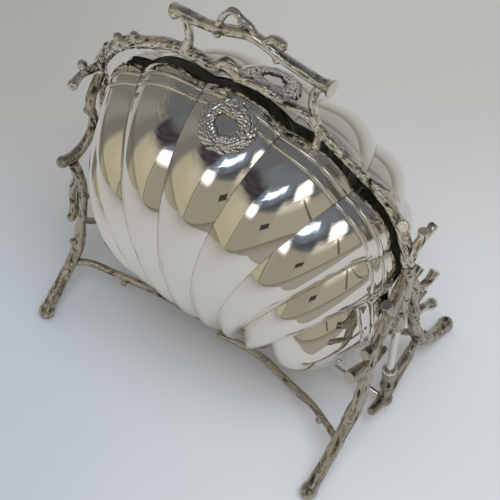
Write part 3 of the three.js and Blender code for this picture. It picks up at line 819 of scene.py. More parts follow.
    def pattern(self, turn: Array, run: Array, places: Array) -> Array:
        """Ridges, finer ridges, lumps and pits added up, without the warts.

        Args:
            turn: Angle round the twig.
            run: Place along it, in cells of noise.
            places: The points, in millimetres.

        Returns:
            The height at each point, about 0 in the middle.
        """
        ring = np.stack([np.cos(turn), np.sin(turn)], axis=1) * self.bark.furrows

        def layer(seed: int, across: float, along: float) -> Array:
            """Noise round and along the twig."""
            return lattice_noise(np.column_stack([ring * across, run * along]), self.seed + seed)

        ridges = 1 - self.crest * np.abs(layer(0, 1.6, 1.0))
        fine = 1 - self.crest * np.abs(layer(11, 3.4, 2.2))
        lumps = layer(23, 0.7, 2.6)
        pits = lattice_noise(places / 1.7, self.seed + 31)
        return 0.42 * ridges + 0.26 * fine + 0.42 * lumps + 0.14 * pits

    def nearest(self, places: Array, centre: Array, radius: Array) -> tuple[Array, Array]:
        """Finds the line sample that carries each point.

        Args:
            places: The points.
            centre: Places of all line samples.
            radius: Radius of the tube at each sample.

        Returns:
            The sample's number for each point, and how far the point lies off its tube.
        """
        found, gap = np.zeros(len(places), np.int64), np.zeros(len(places))
        for start in range(0, len(places), self.block):
            part = places[start:start + self.block]
            square = (part**2).sum(1)[:, None] + (centre**2).sum(1)[None] - 2 * part @ centre.T
            off = np.sqrt(np.maximum(0, square)) - radius[None]
            best = off.argmin(1)
            found[start:start + self.block] = best
            gap[start:start + self.block] = off[np.arange(len(part)), best]
        return found, gap

    def warts(self, centre: Array, radius: Array) -> list[tuple[float, Array, float]]:
        """Small bumps and hollows scattered over the bark.

        Args:
            centre: Places of all line samples.
            radius: Radius of the tube at each sample.

        Returns:
            Height, place and width of each.
        """
        draw = np.random.default_rng(self.seed)
        spots = []
        for _ in range(int(self.bark.warts * len(centre) * LINE_STEP)):
            i = int(draw.integers(len(centre)))
            way = unit(draw.normal(size=3))
            height = self.bark.wart_height * draw.choice([1.0, 0.8, -0.6])
            spots.append((height, centre[i] + way * radius[i], float(draw.uniform(0.7, 1.5))))
        return spots


@dataclass
class FlutedBowl:
    """A half bowl of nine flutes, with a stepped rim band, that turns on the hinge rod.

    Places are given by u, which counts flutes from the middle, and t, which runs from 0 at the rim
    to 1 at the bottom. The valleys lie on a smooth bowl of Bezier curves, and the lobes swell out
    of it.
    """

    side: Side
    flutes: int = 9
    rim_y: float = RIM_Y
    knots: tuple = (0, 0.5, 1.5, 2.5, 3.5, 4.5)
    rim_x: tuple = (0, 31, 83.5, 115, 113.2, 112)
    rim_z: tuple = (252.5, 251, 231.5, 195.8, 139.8, 81.4)
    strip_width: float = 16.6
    bottom_z: float = 28.0
    upper_depth: float = 63.8
    lower_depth: float = 133.0
    lower_pull_z: float = 125.9
    upper_pull_z: float = 21.0
    upper_pull_share: float = 0.98
    upper_narrow: float = 0.81
    lower_narrow: float = 0.49
    end_flare: float = 1.05
    end_deepen: float = 0.67
    end_shallow: float = 0.6
    end_drop: float = 71.0
    rim_scallop: float = 7.4
    lobe: float = 4.6
    sink: float = 7.0
    sink_across: tuple = (1.5, 3.0, 3.7)
    sink_down: tuple = (0.02, 0.12, 0.85)
    rim_band: float = 0.12
    wall: float = 1.2
    cells: int = 28
    steps: tuple = (0.036, 0.071)

    @property
    def half(self) -> float:
        """Flutes on each side of the middle."""
        return self.flutes / 2

    def through_knots(self, u: Array, values: tuple) -> Array:
        """A value that runs smoothly through the rim's knots.

        Args:
            u: Flutes from the middle.
            values: The value at each knot; a first value of 0 turns over on the other half.

        Returns:
            The value at each u.
        """
        odd = values[0] == 0
        ks = np.array([-self.knots[1], *self.knots, self.knots[-1] + 1])
        vs = np.array([-values[1] if odd else values[1], *values, 2 * values[-1] - values[-2]])
        at = np.abs(u)
        i = np.clip(np.searchsorted(ks, at, side="right") - 1, 1, 5)
        span = ks[i + 1] - ks[i]
        s = (at - ks[i]) / span
        rise = (vs[i + 1] - vs[i - 1]) / (ks[i + 1] - ks[i - 1]) * span
        fall = (vs[i + 2] - vs[i]) / (ks[i + 2] - ks[i]) * span
        value = hermite(s, vs[i], rise, vs[i + 1], fall)
        return np.sign(u) * value if odd else value

    def valley(self, u: Array, t: Array) -> Array:
        """Points of the smooth bowl that the valleys lie on.

        Args:
            u: Flutes from the middle.
            t: Share of the way down from the rim.

        Returns:
            Places on the front half bowl.
        """
        q = np.abs(u) / self.half
        shut = np.sqrt(np.maximum(0, 1 - q**8))
        rim_x, rim_z = self.through_knots(u, self.rim_x), self.through_knots(u, self.rim_z)
        end_x = self.strip_width * u
        w = [(1 - t) ** 3, 3 * t * (1 - t) ** 2, 3 * t**2 * (1 - t), t**3]
        upper = self.upper_depth * (1 + self.end_deepen * q**2)
        lower = self.lower_depth * (1 - self.end_shallow * q**2)
        upper_z = self.upper_pull_z + (rim_z - self.upper_pull_z) * self.upper_pull_share
        lower_z = self.lower_pull_z - self.end_drop * q**4
        lower_x = end_x * (self.lower_narrow + self.end_flare * q**6)
        x = w[0] * rim_x + w[1] * rim_x * self.upper_narrow + w[2] * lower_x + w[3] * end_x
        y = -self.rim_y - shut * (w[1] * upper + w[2] * lower)
        z = w[0] * rim_z + w[1] * upper_z + w[2] * lower_z + w[3] * self.bottom_z
        return np.stack([x, y, z], axis=-1)

    def outward(self, u: Array, t: Array) -> Array:
        """Outward direction of that smooth bowl.

        Args:
            u: Flutes from the middle.
            t: Share of the way down from the rim.

        Returns:
            One direction of length 1 for each place.
        """
        step, half = 0.01, self.half
        right, left = np.minimum(u + step, half), np.maximum(u - step, -half)
        across = self.valley(right, t) - self.valley(left, t)
        down = self.valley(u, np.minimum(t + step, 1)) - self.valley(u, np.maximum(t - step, 0))
        return unit(np.cross(down, across))

    def valley_sink(self, u: Array, t: Array) -> Array:
        """How much deeper a valley lies.

        Args:
            u: Flutes from the middle, to either side.
            t: Share of the way down from the rim.

        Returns:
            The depth, in millimetres.
        """
        starts, full, fades = self.sink_across
        top, down, low = self.sink_down
        across = smoothstep(starts, full, u) * (1 - smoothstep(fades, self.half, u))
        return self.sink * across * smoothstep(top, down, t) * (1 - smoothstep(low, 1, t))

    def surface(self, u: Array, t: Array, lift: Array | float = 0.0) -> Array:
        """Points of the fluted skin.

        Args:
            u: Flutes from the middle.
            t: Share of the way down from the rim.
            lift: How far they are raised outward, in millimetres.

        Returns:
            Places on the front half bowl.
        """
        scallop = self.rim_scallop - np.abs(u)
        band = np.maximum(0, 1 - t / self.rim_band)
        height = self.lobe + (scallop - self.lobe) * band**2
        swell = np.abs(np.cos(math.pi * u))
        rise = height * swell - self.valley_sink(np.abs(u), t) * (1 - swell) + lift
        places = self.valley(u, t) + self.outward(u, t) * rise[..., None]
        places[..., 1] = np.minimum(places[..., 1], -self.rim_y)
        return places

    def at_steps(self, t: Array, height: float, above: float, width: float) -> Array:
        """Round ridges that follow the two steps of the rim band."""
        return sum(height * np.exp(-(((t - at + above) / width) ** 2)) for at in self.steps)

    def band_lift(self, t: Array) -> Array:
        """Height of the stepped rim band over the plain skin.

        Args:
            t: Share of the way down from the rim.

        Returns:
            The height, in millimetres.
        """
        soft = 0.002
        first, second = self.steps
        lip = 0.55 * (1 - smoothstep(first - soft, first + soft, t))
        shelf = 0.5 * (1 - smoothstep(second - soft, second + soft, t))
        beads, grooves = self.at_steps(t, 0.35, 0.007, 0.004), self.at_steps(t, 0.35, 0, 0.0025)
        return lip + shelf + beads - grooves

    def rows(self) -> Array:
        """How far down each ring of points lies, closer at the rim band's steps."""
        plain = [np.linspace(0, 0.12, 26), np.linspace(0.13, 0.9, 74), np.linspace(0.91, 1, 12)]
        near = [at + np.linspace(-0.016, 0.008, 25) for at in self.steps]
        return np.unique(np.round(np.concatenate([*plain, *near]), 5))

    def mesh(self) -> bpy.types.Mesh:
        """The closed skin of the bowl, with sharp valleys between its flutes.

        Returns:
            The mesh; its inner faces have material number 1.
        """
        columns = self.flutes * (self.cells // 1)
        t = self.rows()
        us, ts = np.meshgrid(np.linspace(-self.half, self.half, columns + 1), t, indexing="ij")
        skins = []
        for lift in (self.band_lift(ts), np.full(ts.shape, -self.wall)):
            skin = self.surface(us, ts, lift)
            skin[:, [0, -1], 1] = -self.rim_y
            skin[[0, -1], :, 1] = -self.rim_y
            skins.append(skin.reshape(-1, 3))
        at = np.arange(us.size).reshape(us.shape)
        outer, inner, edge = closed_faces(at)
        points = self.side.turned(np.vstack(skins))
        faces = np.vstack([outer, inner, edge]).tolist()
        mesh = mesh_of(f"{self.side.value}_shell", (points, faces))
        self.mark_valleys(mesh, at, edge)
        # The "valley" mask holds toning plus painted shade in the creases and rim grooves.
        write_mask(mesh, "valley", np.tile(self.valley_toning_and_shade(us, ts).ravel(), 2))
        inside = np.zeros(len(mesh.polygons), np.int32)
        inside[len(outer):len(outer) + len(inner)] = 1
        mesh.polygons.foreach_set("material_index", inside)
        return mesh

    def valley_toning_and_shade(self, u: Array, t: Array) -> Array:
        """Where toning stays.

        Args:
            u: Flutes from the middle.
            t: Share of the way down from the rim.

        Returns:
            1 in the valleys and the rim grooves, falling to 0 on the lobes: toning plus painted
            shade in the creases.
        """
        # Darkens the valley creases and rim grooves: toning, plus painted shade in the creases.
        crease_toning_and_shade = 0.85 * (1 - smoothstep(0.0, 0.12, np.abs(np.cos(math.pi * u))))
        return np.clip(crease_toning_and_shade + 0.8 * self.at_steps(t, 1, 0, 0.002), 0, 1)

    def mark_valleys(self, mesh: bpy.types.Mesh, at: Array, edge: Array) -> None:
        """Keeps the valleys and the rim's corners crisp.

        Args:
            mesh: The bowl's skin.
            at: Point number at each column and row of its outer side.
            edge: The faces that close its edge.
        """
        cells = (at.shape[0] - 1) // self.flutes
        pairs = edges_of(mesh) % at.size
        column = pairs // at.shape[1]
        valley = (column[:, 0] == column[:, 1]) & (column[:, 0] % cells == 0)
        on_rim = np.isin(pairs, edge % at.size).all(axis=1)
        sharp = mesh.attributes.new("sharp_edge", "BOOLEAN", "EDGE")
        sharp.data.foreach_set("value", valley | on_rim)

    def build(self, finish: "SilverFinish", inner_finish: "SilverFinish") -> bpy.types.Object:
        """Makes the bowl and puts it on its body.

        Args:
            finish: Its finish outside.
            inner_finish: Its finish inside.

        Returns:
            The bowl's object.
        """
        return placed(f"{self.side.value}_shell", "fluted", self.mesh(), self.side.body(),
                      Slot.POLISHED, finish, inner_finish)


@dataclass
class LaurelWreath:
    """A ring of overlapping laurel leaves on the middle lobe; its centre stays blank.

    Each row of leaves has a spread from the stem in radians, a lift over the lobe, a size and an
    inset from the stem. A row inset further than innermost has leaves of its own length.
    """

    bowl: FlutedBowl
    down: float = 18.8
    half_width: float = 16.1
    half_height: float = 11.9
    leaf_length: float = 8.4
    leaf_width: float = 4.2
    leaf_rows: int = 11
    leaf_columns: int = 7
    stem_radius: float = 0.6
    stem_lift: float = 0.8
    stem_samples: int = 60
    first_angle: float = -0.14
    sweep: float = 3.5
    tiers: int = 13
    leafy: float = 0.93
    innermost: float = -3.0
    seed: int = 7
    rows: tuple = (
        (-0.5, 0.1, 1.0, -3.2), (0.6, 0.1, 0.8, 1.6), (-0.35, 0.35, 1.0, -1.5),
        (0.4, 0.3, 0.9, 0.6), (0.0, 0.75, 0.9, -0.4),
    )

    def on_lobe(self, x: Array, z: Array, lift: Array) -> Array:
        """Lays a flat drawing on the middle lobe.

        Args:
            x: Place to the right of the wreath's centre.
            z: Place above it.
            lift: Height over the lobe.

        Returns:
            Places on the bowl, in millimetres.
        """
        u = x / (2 * self.bowl.rim_x[1])
        below = self.down - z * self.half_height / self.half_width
        t = np.maximum(0.004, below / (3 * self.bowl.upper_depth))
        return self.bowl.side.turned(self.bowl.surface(u, t, lift))

    def on_ring(self, hand: int, angle: Array, radius: Array, lift: Array) -> Array:
        """Places by angle up from the tie at the bottom, on the right (1) or left (-1) sprig."""
        return self.on_lobe(hand * radius * np.sin(angle), -radius * np.cos(angle), lift)

    def sprig(self, share: Array | float) -> tuple[Array, Array]:
        """Angle and radius of a sprig's stem, which leaves the ring near its top end."""
        radius = self.half_width * (1 + 0.3 * smoothstep(0.88, 1.0, share))
        return self.first_angle + self.sweep * share, radius

    def leaf(self, hand: int, share: float, spread: float, size: float, lift: float,
             roll: float, inset: float) -> tuple[Shape, Array]:
        """One pointed leaf that bends along the ring, with a raised rib.

        Args:
            hand: 1 for the right sprig and -1 for the left one.
            share: How far along the sprig it grows.
            spread: Its turn away from the stem, in radians, outward where positive.
            size: Share of the full leaf size.
            lift: How high it lies over the lobe, in millimetres.
            roll: How far one edge rises over the other, in millimetres.
            inset: How far outside the stem it grows, in millimetres, or inside where negative.

        Returns:
            The closed leaf, and its relief mask: bright on the blade and rib, toned round the edge,
                and
            fully toned below, which is painted shade under and between the leaves.
        """
        root, far = self.sprig(share)
        s, c = np.meshgrid(np.linspace(0, 1, self.leaf_rows),
                           np.linspace(-1, 1, self.leaf_columns), indexing="ij")
        ahead = s * self.leaf_length * size
        across = c * (0.5 * self.leaf_width * size * np.sin(math.pi * s**0.8) ** 0.75 + 0.05)
        angle = root + (ahead * math.cos(spread) - across * math.sin(spread)) / self.half_width
        radius = far + inset + ahead * math.sin(spread) + across * math.cos(spread)
        body = np.sin(math.pi * np.clip(s, 0.03, 0.97)) ** 0.5
        dome = (0.7 * (1 - c * c) + 0.4 * np.exp(-((c / 0.17) ** 2))) * body
        blade = lift + 0.35 * s + 0.5 + dome + roll * c * body
        skins = [self.on_ring(hand, angle, radius, height).reshape(-1, 3)
                 for height in (blade, np.full(s.shape, lift * 0.3))]
        outer, inner, edge = closed_faces(np.arange(s.size).reshape(s.shape))
        faces = np.vstack([outer, inner, np.roll(edge, -1, axis=1)])[:, [0, 3, 2, 1]]
        # Edges toned, and the underside fully toned: toning plus painted shade under and between
        # the leaves.
        relief = np.stack([0.1 + 0.8 * smoothstep(0.2, 0.7, dome), np.zeros(s.shape)])
        return (np.vstack(skins), faces.tolist()), relief.ravel()

    def stem(self, hand: int) -> Shape:
        """The thin stem of one sprig.

        Args:
            hand: 1 for the right sprig and -1 for the left one.

        Returns:
            Its closed tube.
        """
        angle, radius = self.sprig(np.linspace(0, 1, self.stem_samples))
        places = self.on_ring(hand, angle, radius, np.full(self.stem_samples, self.stem_lift))
        stations = [[*place, self.stem_radius] for place in places]
        return Line.through(stations, step=0.9).tube(sides=8)

    def reach(self, share: float, inset: float) -> float:
        """How much longer a leaf of the innermost row is, which the top and bottom want most."""
        return 0.85 + 0.3 * abs(math.cos(self.sprig(share)[0])) if inset < self.innermost else 1

    def build(self, finish: "SilverFinish") -> bpy.types.Object:
        """Lays both sprigs from the tie at the bottom to where they cross at the top.

        Args:
            finish: The silver finish of both.

        Returns:
            The wreath's object.
        """
        draw = np.random.default_rng(self.seed)
        shapes, reliefs = [], []
        for hand in (1, -1):
            shapes.append(self.stem(hand))
            reliefs.append(np.full(len(shapes[-1][0]), 0.5))
            for tier in range(self.tiers):
                for row, (spread, lift, grown, inset) in enumerate(self.rows):
                    share = (tier + row / len(self.rows)) / self.tiers * self.leafy
                    turn = spread + float(draw.uniform(-0.2, 0.2))
                    size = grown * self.reach(share, inset) * float(draw.uniform(0.85, 1.1))
                    roll = float(draw.uniform(-0.4, 0.4))
                    shape, relief = self.leaf(hand, share, turn, size, lift, roll, inset)
                    shapes.append(shape)
                    reliefs.append(relief)
        name = f"{self.bowl.side.value}_wreath"
        mesh = mesh_of(name, joined(shapes))
        write_mask(mesh, "relief", np.concatenate(reliefs))
        return placed(name, "laurel", mesh, self.bowl.side.body(), Slot.BARK, finish)


@dataclass
class EndPost:
    """The smooth rod and collar of one end post."""

    end: End
    radius: float = 3.0
    foot: float = 4.0
    head: float = 3.0
    waist: float = 0.93
    collar_radius: float = 5.4
    bead: float = 0.9

    def build(self, finish: "SilverFinish") -> None:
        """Turns the rod and its collar.

        Args:
            finish: The silver finish of both.
        """
        name, wide, height = f"post_rod_{self.end.value}", self.radius, ROD_TOP_Z - COLLAR_Z
        slim = wide * self.waist
        profile = [(0, 0), (wide, 0), (wide, self.foot), (slim, height * 0.3), (slim, height * 0.7),
                   (wide, height - self.head), (wide, height), (0, height)]
        rod = mesh_of(name, moved(turned(profile), self.end.x(), 0, COLLAR_Z))
        placed(name, "turned", rod, Body.FRAME, Slot.POLISHED, finish)
        name, bore, rise = f"rod_collar_{self.end.value}", wide + FIT, COLLAR_TOP_Z - COLLAR_Z
        inner = self.collar_radius - self.bead
        bead = [(inner + self.bead * math.sin(a), rise * (0.5 - 0.5 * math.cos(a)))
                for a in np.linspace(0, math.pi, 13)]
        ring = moved(turned([(bore, 0), *bead, (bore, rise)]), self.end.x(), 0, COLLAR_Z)
        placed(name, "turned", mesh_of(name, ring), Body.FRAME, Slot.SMOOTH, finish)


@dataclass
class Hinge:
    """The rod that both bowls turn on, and the leaf of each bowl with its barrels.

    A leaf lies just behind the bowl's edge. The barrels of the front and the rear leaf take turns
    along the rod.
    """

    rod_radius: float = 2.2
    rod_edge: float = 0.4
    barrel_radius: float = 4.2
    barrel_edge: float = 0.5
    barrels: int = 5
    half_length: float = 66.0
    top_z: float = 34.0
    leaf_thickness: float = 1.5
    leaf_edge: float = 0.3
    tongue_z: float = 2.6
    sides: int = 32

    def rod(self, finish: "SilverFinish") -> None:
        """Turns the long hinge rod.

        Args:
            finish: Its silver finish.
        """
        wide, reach = self.rod_radius, POST_X - 1
        slim, eased = wide - self.rod_edge, reach - self.rod_edge
        profile = [(0, -reach), (slim, -reach), (wide, -eased), (wide, eased), (slim, reach),
                   (0, reach)]
        mesh = mesh_of("hinge_rod", self.on_axis(profile))
        placed("hinge_rod", "turned", mesh, Body.FRAME, Slot.SMOOTH, finish)

    def on_axis(self, profile: list[tuple[float, float]]) -> Shape:
        """A turned shape laid along the hinge's axis."""
        return moved(laid_along_x(turned(profile, self.sides)), z=HINGE_Z)

    def barrel(self, start: float, end: float) -> Shape:
        """One rolled barrel with eased ends.

        Args:
            start: Where it starts along X.
            end: Where it ends.

        Returns:
            The barrel, in place.
        """
        bore, outer, edge = self.rod_radius + FIT, self.barrel_radius, self.barrel_edge
        return self.on_axis([(bore, start), (outer - edge, start), (outer, start + edge),
                             (outer, end - edge), (outer - edge, end), (bore, end)])

    def slab(self, low: Sequence[float], high: Sequence[float]) -> Shape:
        """A flat strip with eased corners.

        Args:
            low: Its corner with the lowest X, Y and Z.
            high: The opposite corner.

        Returns:
            The closed strip.
        """
        edge = self.leaf_edge
        (x0, y0, z0), (x1, y1, z1) = low, high
        outline = [(y0 + edge, z0), (y1 - edge, z0), (y1, z0 + edge), (y1, z1 - edge),
                   (y1 - edge, z1), (y0 + edge, z1), (y0, z1 - edge), (y0, z0 + edge)]
        points = np.array([[x, y, z] for x in (x0, x1) for y, z in outline])
        faces = [[k, (k + 1) % 8, (k + 1) % 8 + 8, k + 8] for k in range(8)]
        return points, [*faces, list(range(8))[::-1], list(range(8, 16))]

    def leaf(self, side: Side, finish: "SilverFinish") -> None:
        """Builds one leaf: a strip behind the bowl's edge, with barrels in its own slots.

        Args:
            side: The side of the box.
            finish: The silver finish.
        """
        name, slot = f"{side.value}_hinge_leaf", 2 * self.half_length / self.barrels
        front = FIT - RIM_Y
        back, clear = front + self.leaf_thickness, HINGE_Z + self.barrel_radius + 2 * FIT
        half = self.half_length
        shapes = [self.slab((-half, front, clear), (half, back, self.top_z))]
        for i in range(list(Side).index(side), self.barrels, 2):
            start = -half + i * slot + FIT
            end = start + slot - 2 * FIT
            shapes.append(self.barrel(start, end))
            shapes.append(self.slab((start + FIT, front, HINGE_Z + self.tongue_z),
                                    (end - FIT, back, clear + 1)))
        points, faces = joined(shapes)
        mesh = mesh_of(name, (side.turned(points), faces))
        placed(name, "rolled", mesh, side.body(), Slot.SMOOTH, finish)


class Sketch:
    """Adds nodes to a material, world or group and joins them."""

    def __init__(self, tree: bpy.types.NodeTree) -> None:
        """Starts on an empty tree."""
        self.tree = tree
        tree.nodes.clear()

    def add(self, kind: str, **values: object) -> bpy.types.Node:
        """Adds a node.

        Args:
            kind: Its type.
            values: Values of the node itself or of inputs, where _ stands for a space.

        Returns:
            The node.
        """
        node = self.tree.nodes.new(kind)
        for name, value in values.items():
            if hasattr(node, name):
                setattr(node, name, value)
            else:
                self.join(value, node.inputs[name.replace("_", " ")])
        return node

    def join(self, source: Source | tuple, target: Socket) -> None:
        """Joins a socket to an input, or gives the input a plain number, vector or colour.

        Args:
            source: What the input gets.
            target: The input.
        """
        if isinstance(source, Socket):
            self.tree.links.new(source, target)
        elif isinstance(source, tuple) and target.type == "RGBA":
            target.default_value = (*source, 1.0)
        else:
            target.default_value = source

    def value(self, operation: str, *sources: Source, clamp: bool = False) -> Socket:
        """A Math node.

        Args:
            operation: What it does.
            sources: Its inputs, as sockets or plain numbers.
            clamp: Keeps the result from 0 to 1.

        Returns:
            Its output.
        """
        node = self.add("ShaderNodeMath", operation=operation, use_clamp=clamp)
        for source, slot in zip(sources, node.inputs):
            self.join(source, slot)
        return node.outputs[0]

    def plus(self, *sources: Source) -> Socket:
        """The sum of two or more."""
        return reduce(lambda total, source: self.value("ADD", total, source), sources)

    def minus(self, first: Source, second: Source) -> Socket:
        """The first less the second."""
        return self.value("SUBTRACT", first, second)

    def times(self, first: Source, second: Source) -> Socket:
        """The product of two."""
        return self.value("MULTIPLY", first, second)

    def mix(self, share: Source, low: Socket | tuple, high: Socket | tuple) -> Socket:
        """A mixed colour.

        Args:
            share: 0 for the low colour, 1 for the high one.
            low: A socket or a plain colour.
            high: Another one.

        Returns:
            The mixed colour's socket.
        """
        node = self.add("ShaderNodeMix", data_type="RGBA", Factor=share)
        self.join(low, node.inputs[6])
        self.join(high, node.inputs[7])
        return node.outputs[2]

    def ramp(self, source: Socket, low: float, high: float,
             to_low: float = 0.0, to_high: float = 1.0) -> Socket:
        """A value carried smoothly from one span to another.

        Args:
            source: The value.
            low: Start of its span.
            high: End of its span.
            to_low: What the start becomes.
            to_high: What the end becomes.

        Returns:
            The new value's socket.
        """
        node = self.add("ShaderNodeMapRange", interpolation_type="SMOOTHSTEP", Value=source,
                        From_Min=low, From_Max=high, To_Min=to_low, To_Max=to_high)
        return node.outputs["Result"]

    def noise(self, where: Socket, scale: Source, detail: float, roughness: float = 0.5) -> Socket:
        """Smooth noise.

        Args:
            where: The place.
            scale: Cells per unit.
            detail: Number of finer layers.
            roughness: Share that each finer layer has.

        Returns:
            A value from 0 to 1.
        """
        return self.add("ShaderNodeTexNoise", Vector=where, Scale=scale, Detail=detail,
                        Roughness=roughness).outputs["Fac"]

    def uneven(self, noise: Socket, much: Source) -> Socket:
        """A noise moved to lie evenly round 0, and scaled."""
        return self.times(self.minus(noise, 0.5), much)

    def where(self, space: str) -> Socket:
        """The place that is shaded, as the named output gives it."""
        return self.add("ShaderNodeTexCoord").outputs[space]

    def split(self, vector: Socket) -> list[Socket]:
        """The X, Y and Z of a vector."""
        node = self.add("ShaderNodeSeparateXYZ", Vector=vector)
        return [node.outputs[axis] for axis in "XYZ"]

    def along(self, x: Socket, y: Socket, across: float, ahead: float) -> Socket:
        """How far a place lies along the level direction (across, ahead)."""
        return self.plus(self.times(x, across), self.times(y, ahead))

    def compass(self, x: Socket, y: Socket) -> Socket:
        """The angle from the front, in radians, towards the right where positive."""
        return self.value("ARCTAN2", x, self.times(y, -1.0))

    def mirrored(self) -> Socket:
        """1 for a ray that comes from a mirror, 0 for others."""
        return self.add("ShaderNodeLightPath").outputs["Is Glossy Ray"]


def new_group(name: str, inputs: dict[str, float | tuple], outputs: dict[str, str]) -> tuple:
    """Starts a shader node group with named sockets.

    Args:
        name: Name of the group.
        inputs: Starting value of each input: a number, or a tuple for a colour.
        outputs: Kind of each output, Float or Color.

    Returns:
        The sketch to build in, its input node and its output node.
    """
    tree = bpy.data.node_groups.new(name, "ShaderNodeTree")
    for label, start in inputs.items():
        kind = "NodeSocketColor" if isinstance(start, tuple) else "NodeSocketFloat"
        socket = tree.interface.new_socket(label, in_out="INPUT", socket_type=kind)
        socket.default_value = start
    for label, kind in outputs.items():
        tree.interface.new_socket(label, in_out="OUTPUT", socket_type=f"NodeSocket{kind}")
    sketch = Sketch(tree)
    return sketch, sketch.add("NodeGroupInput"), sketch.add("NodeGroupOutput")


def new_material(name: str, **values: float) -> tuple[bpy.types.Material, Sketch, bpy.types.Node]:
    """Starts a material with one Principled surface.

    Args:
        name: Name of the material.
        values: Plain inputs of the surface.

    Returns:
        The material, the sketch to build in and the surface's node.
    """
    material = bpy.data.materials.new(name)
    material.use_nodes = True
    sketch = Sketch(material.node_tree)
    surface = sketch.add("ShaderNodeBsdfPrincipled", **values)
    sketch.add("ShaderNodeOutputMaterial", Surface=surface.outputs["BSDF"])
    return material, sketch, surface


@cache
def toning_group() -> bpy.types.NodeTree:
    """Silver that stays bright on ridges and darkens in hollows, in uneven patches.

    Returns:
        The group, built once.
    """
    sketch, given, out = new_group(
        "toned silver",
        {"Height": 0.5, "Bright": (0.8, 0.8, 0.8, 1), "Toned": (0.1, 0.1, 0.1, 1), "Reach": 0.5,
         "Patches": 0.3},
        {"Color": "Color", "Toning": "Float"})
    where = sketch.where("Object")
    uneven = sketch.uneven(sketch.noise(where, 38.0, 4.0, 0.6), given.outputs["Patches"])
    grainy = sketch.uneven(sketch.noise(where, 420.0, 3.0, 0.65), 0.5)
    height = sketch.plus(given.outputs["Height"], uneven, grainy)
    # Low height tones the silver; where a mask lowers it for painted shade, this paints that shade.
    toning = sketch.ramp(sketch.minus(given.outputs["Reach"], height), -0.22, 0.3)
    colour = sketch.mix(toning, given.outputs["Bright"], given.outputs["Toned"])
    sketch.join(colour, out.inputs["Color"])
    sketch.join(toning, out.inputs["Toning"])
    return sketch.tree


@cache
def marks_group() -> bpy.types.NodeTree:
    """Fine marks of casting, rubbing and cleaning, as a height and a haze.

    Returns:
        The group, built once.
    """
    sketch, given, out = new_group(
        "fine marks", {"Size": 600.0, "Rubs": 0.5}, {"Height": "Float", "Haze": "Float"})
    where = sketch.where("Object")
    grain = sketch.noise(where, given.outputs["Size"], 5.0, 0.62)
    stretch = sketch.add("ShaderNodeMapping", Vector=where, Scale=(260.0, 2600.0, 900.0),
                         Rotation=(0.3, 0.5, 0.9))
    rubs = sketch.ramp(sketch.noise(stretch.outputs["Vector"], 1.0, 2.0), 0.55, 0.75)
    rubbed = sketch.times(rubs, given.outputs["Rubs"])
    cloud = sketch.ramp(sketch.noise(where, 26.0, 3.0), 0.35, 0.7)
    sketch.join(sketch.plus(grain, rubbed), out.inputs["Height"])
    sketch.join(sketch.times(cloud, sketch.plus(0.5, rubbed)), out.inputs["Haze"])
    return sketch.tree


@dataclass(frozen=True)
class SilverFinish:
    """One finish of the silver plate, with how far toning and marks go.

    The mask is the name of the numbers that each mesh stores for it, high on ridges, or high in
    hollows where mask_is_hollow is set. Besides toning, the masks carry painted shade: on the
    bark's undersides, in the bowls' creases and under the leaves. No mesh stores "plain", so that
    mask is 0 all over and the finish even. Cut ends count as raised to cut_height.
    """

    name: str
    bright: tuple
    toned: tuple
    reach: float
    patches: float
    mask: str
    mask_is_hollow: bool
    gloss: float
    haze: float
    toned_roughness: float
    mark_size: float
    mark_depth: float
    rubs: float
    cut_height: float = 0.78

    @cache
    def material(self) -> bpy.types.Material:
        """The material of this finish.

        Returns:
            The material, built once.
        """
        material, sketch, surface = new_material(self.name, Metallic=1.0)
        height = sketch.add("ShaderNodeAttribute", attribute_name=self.mask).outputs["Fac"]
        if self.mask_is_hollow:
            height = sketch.minus(1.0, height)
        cut = sketch.add("ShaderNodeAttribute", attribute_name="cut").outputs["Fac"]
        height = sketch.value("MAXIMUM", height, sketch.times(cut, self.cut_height))
        toning = sketch.add("ShaderNodeGroup", node_tree=toning_group(), Height=height,
                            Bright=self.bright, Toned=self.toned, Reach=self.reach,
                            Patches=self.patches)
        marks = sketch.add("ShaderNodeGroup", node_tree=marks_group(), Size=self.mark_size,
                           Rubs=self.rubs)
        rough = sketch.plus(self.gloss, sketch.times(marks.outputs["Haze"], self.haze))
        dull = sketch.times(toning.outputs["Toning"], self.toned_roughness)
        bump = sketch.add("ShaderNodeBump", Strength=1.0, Distance=self.mark_depth * MM,
                          Height=marks.outputs["Height"])
        sketch.join(toning.outputs["Color"], surface.inputs["Base Color"])
        sketch.join(sketch.value("ADD", rough, dull, clamp=True), surface.inputs["Roughness"])
        sketch.join(bump.outputs["Normal"], surface.inputs["Normal"])
        return material


BARK_SILVER = SilverFinish(
    name="bark silver", bright=(0.80, 0.75, 0.665), toned=(0.065, 0.052, 0.034), reach=0.43,
    patches=0.5, mask="relief", mask_is_hollow=False, gloss=0.13, haze=0.10, toned_roughness=0.25,
    mark_size=700.0, mark_depth=0.15, rubs=0.3)
POST_SILVER = replace(BARK_SILVER, name="post silver", bright=(0.56, 0.515, 0.435), reach=0.46)
LEG_SILVER = replace(
    BARK_SILVER, name="leg silver", bright=(0.52, 0.475, 0.395), toned=(0.075, 0.06, 0.04),
    gloss=0.2, mark_depth=0.13)
# A darker copy of the bark silver for the low pieces under the bowls: painted shade.
UNDER_BOWL_SHADE_SILVER = replace(
    BARK_SILVER, name="dark silver", bright=(0.42, 0.38, 0.31), toned=(0.045, 0.037, 0.026),
    reach=0.46, gloss=0.24)
HANDLE_SILVER = replace(
    BARK_SILVER, name="handle silver", bright=(0.76, 0.725, 0.64), toned=(0.08, 0.07, 0.05),
    reach=0.47, gloss=0.08, haze=0.06, mark_depth=0.06)
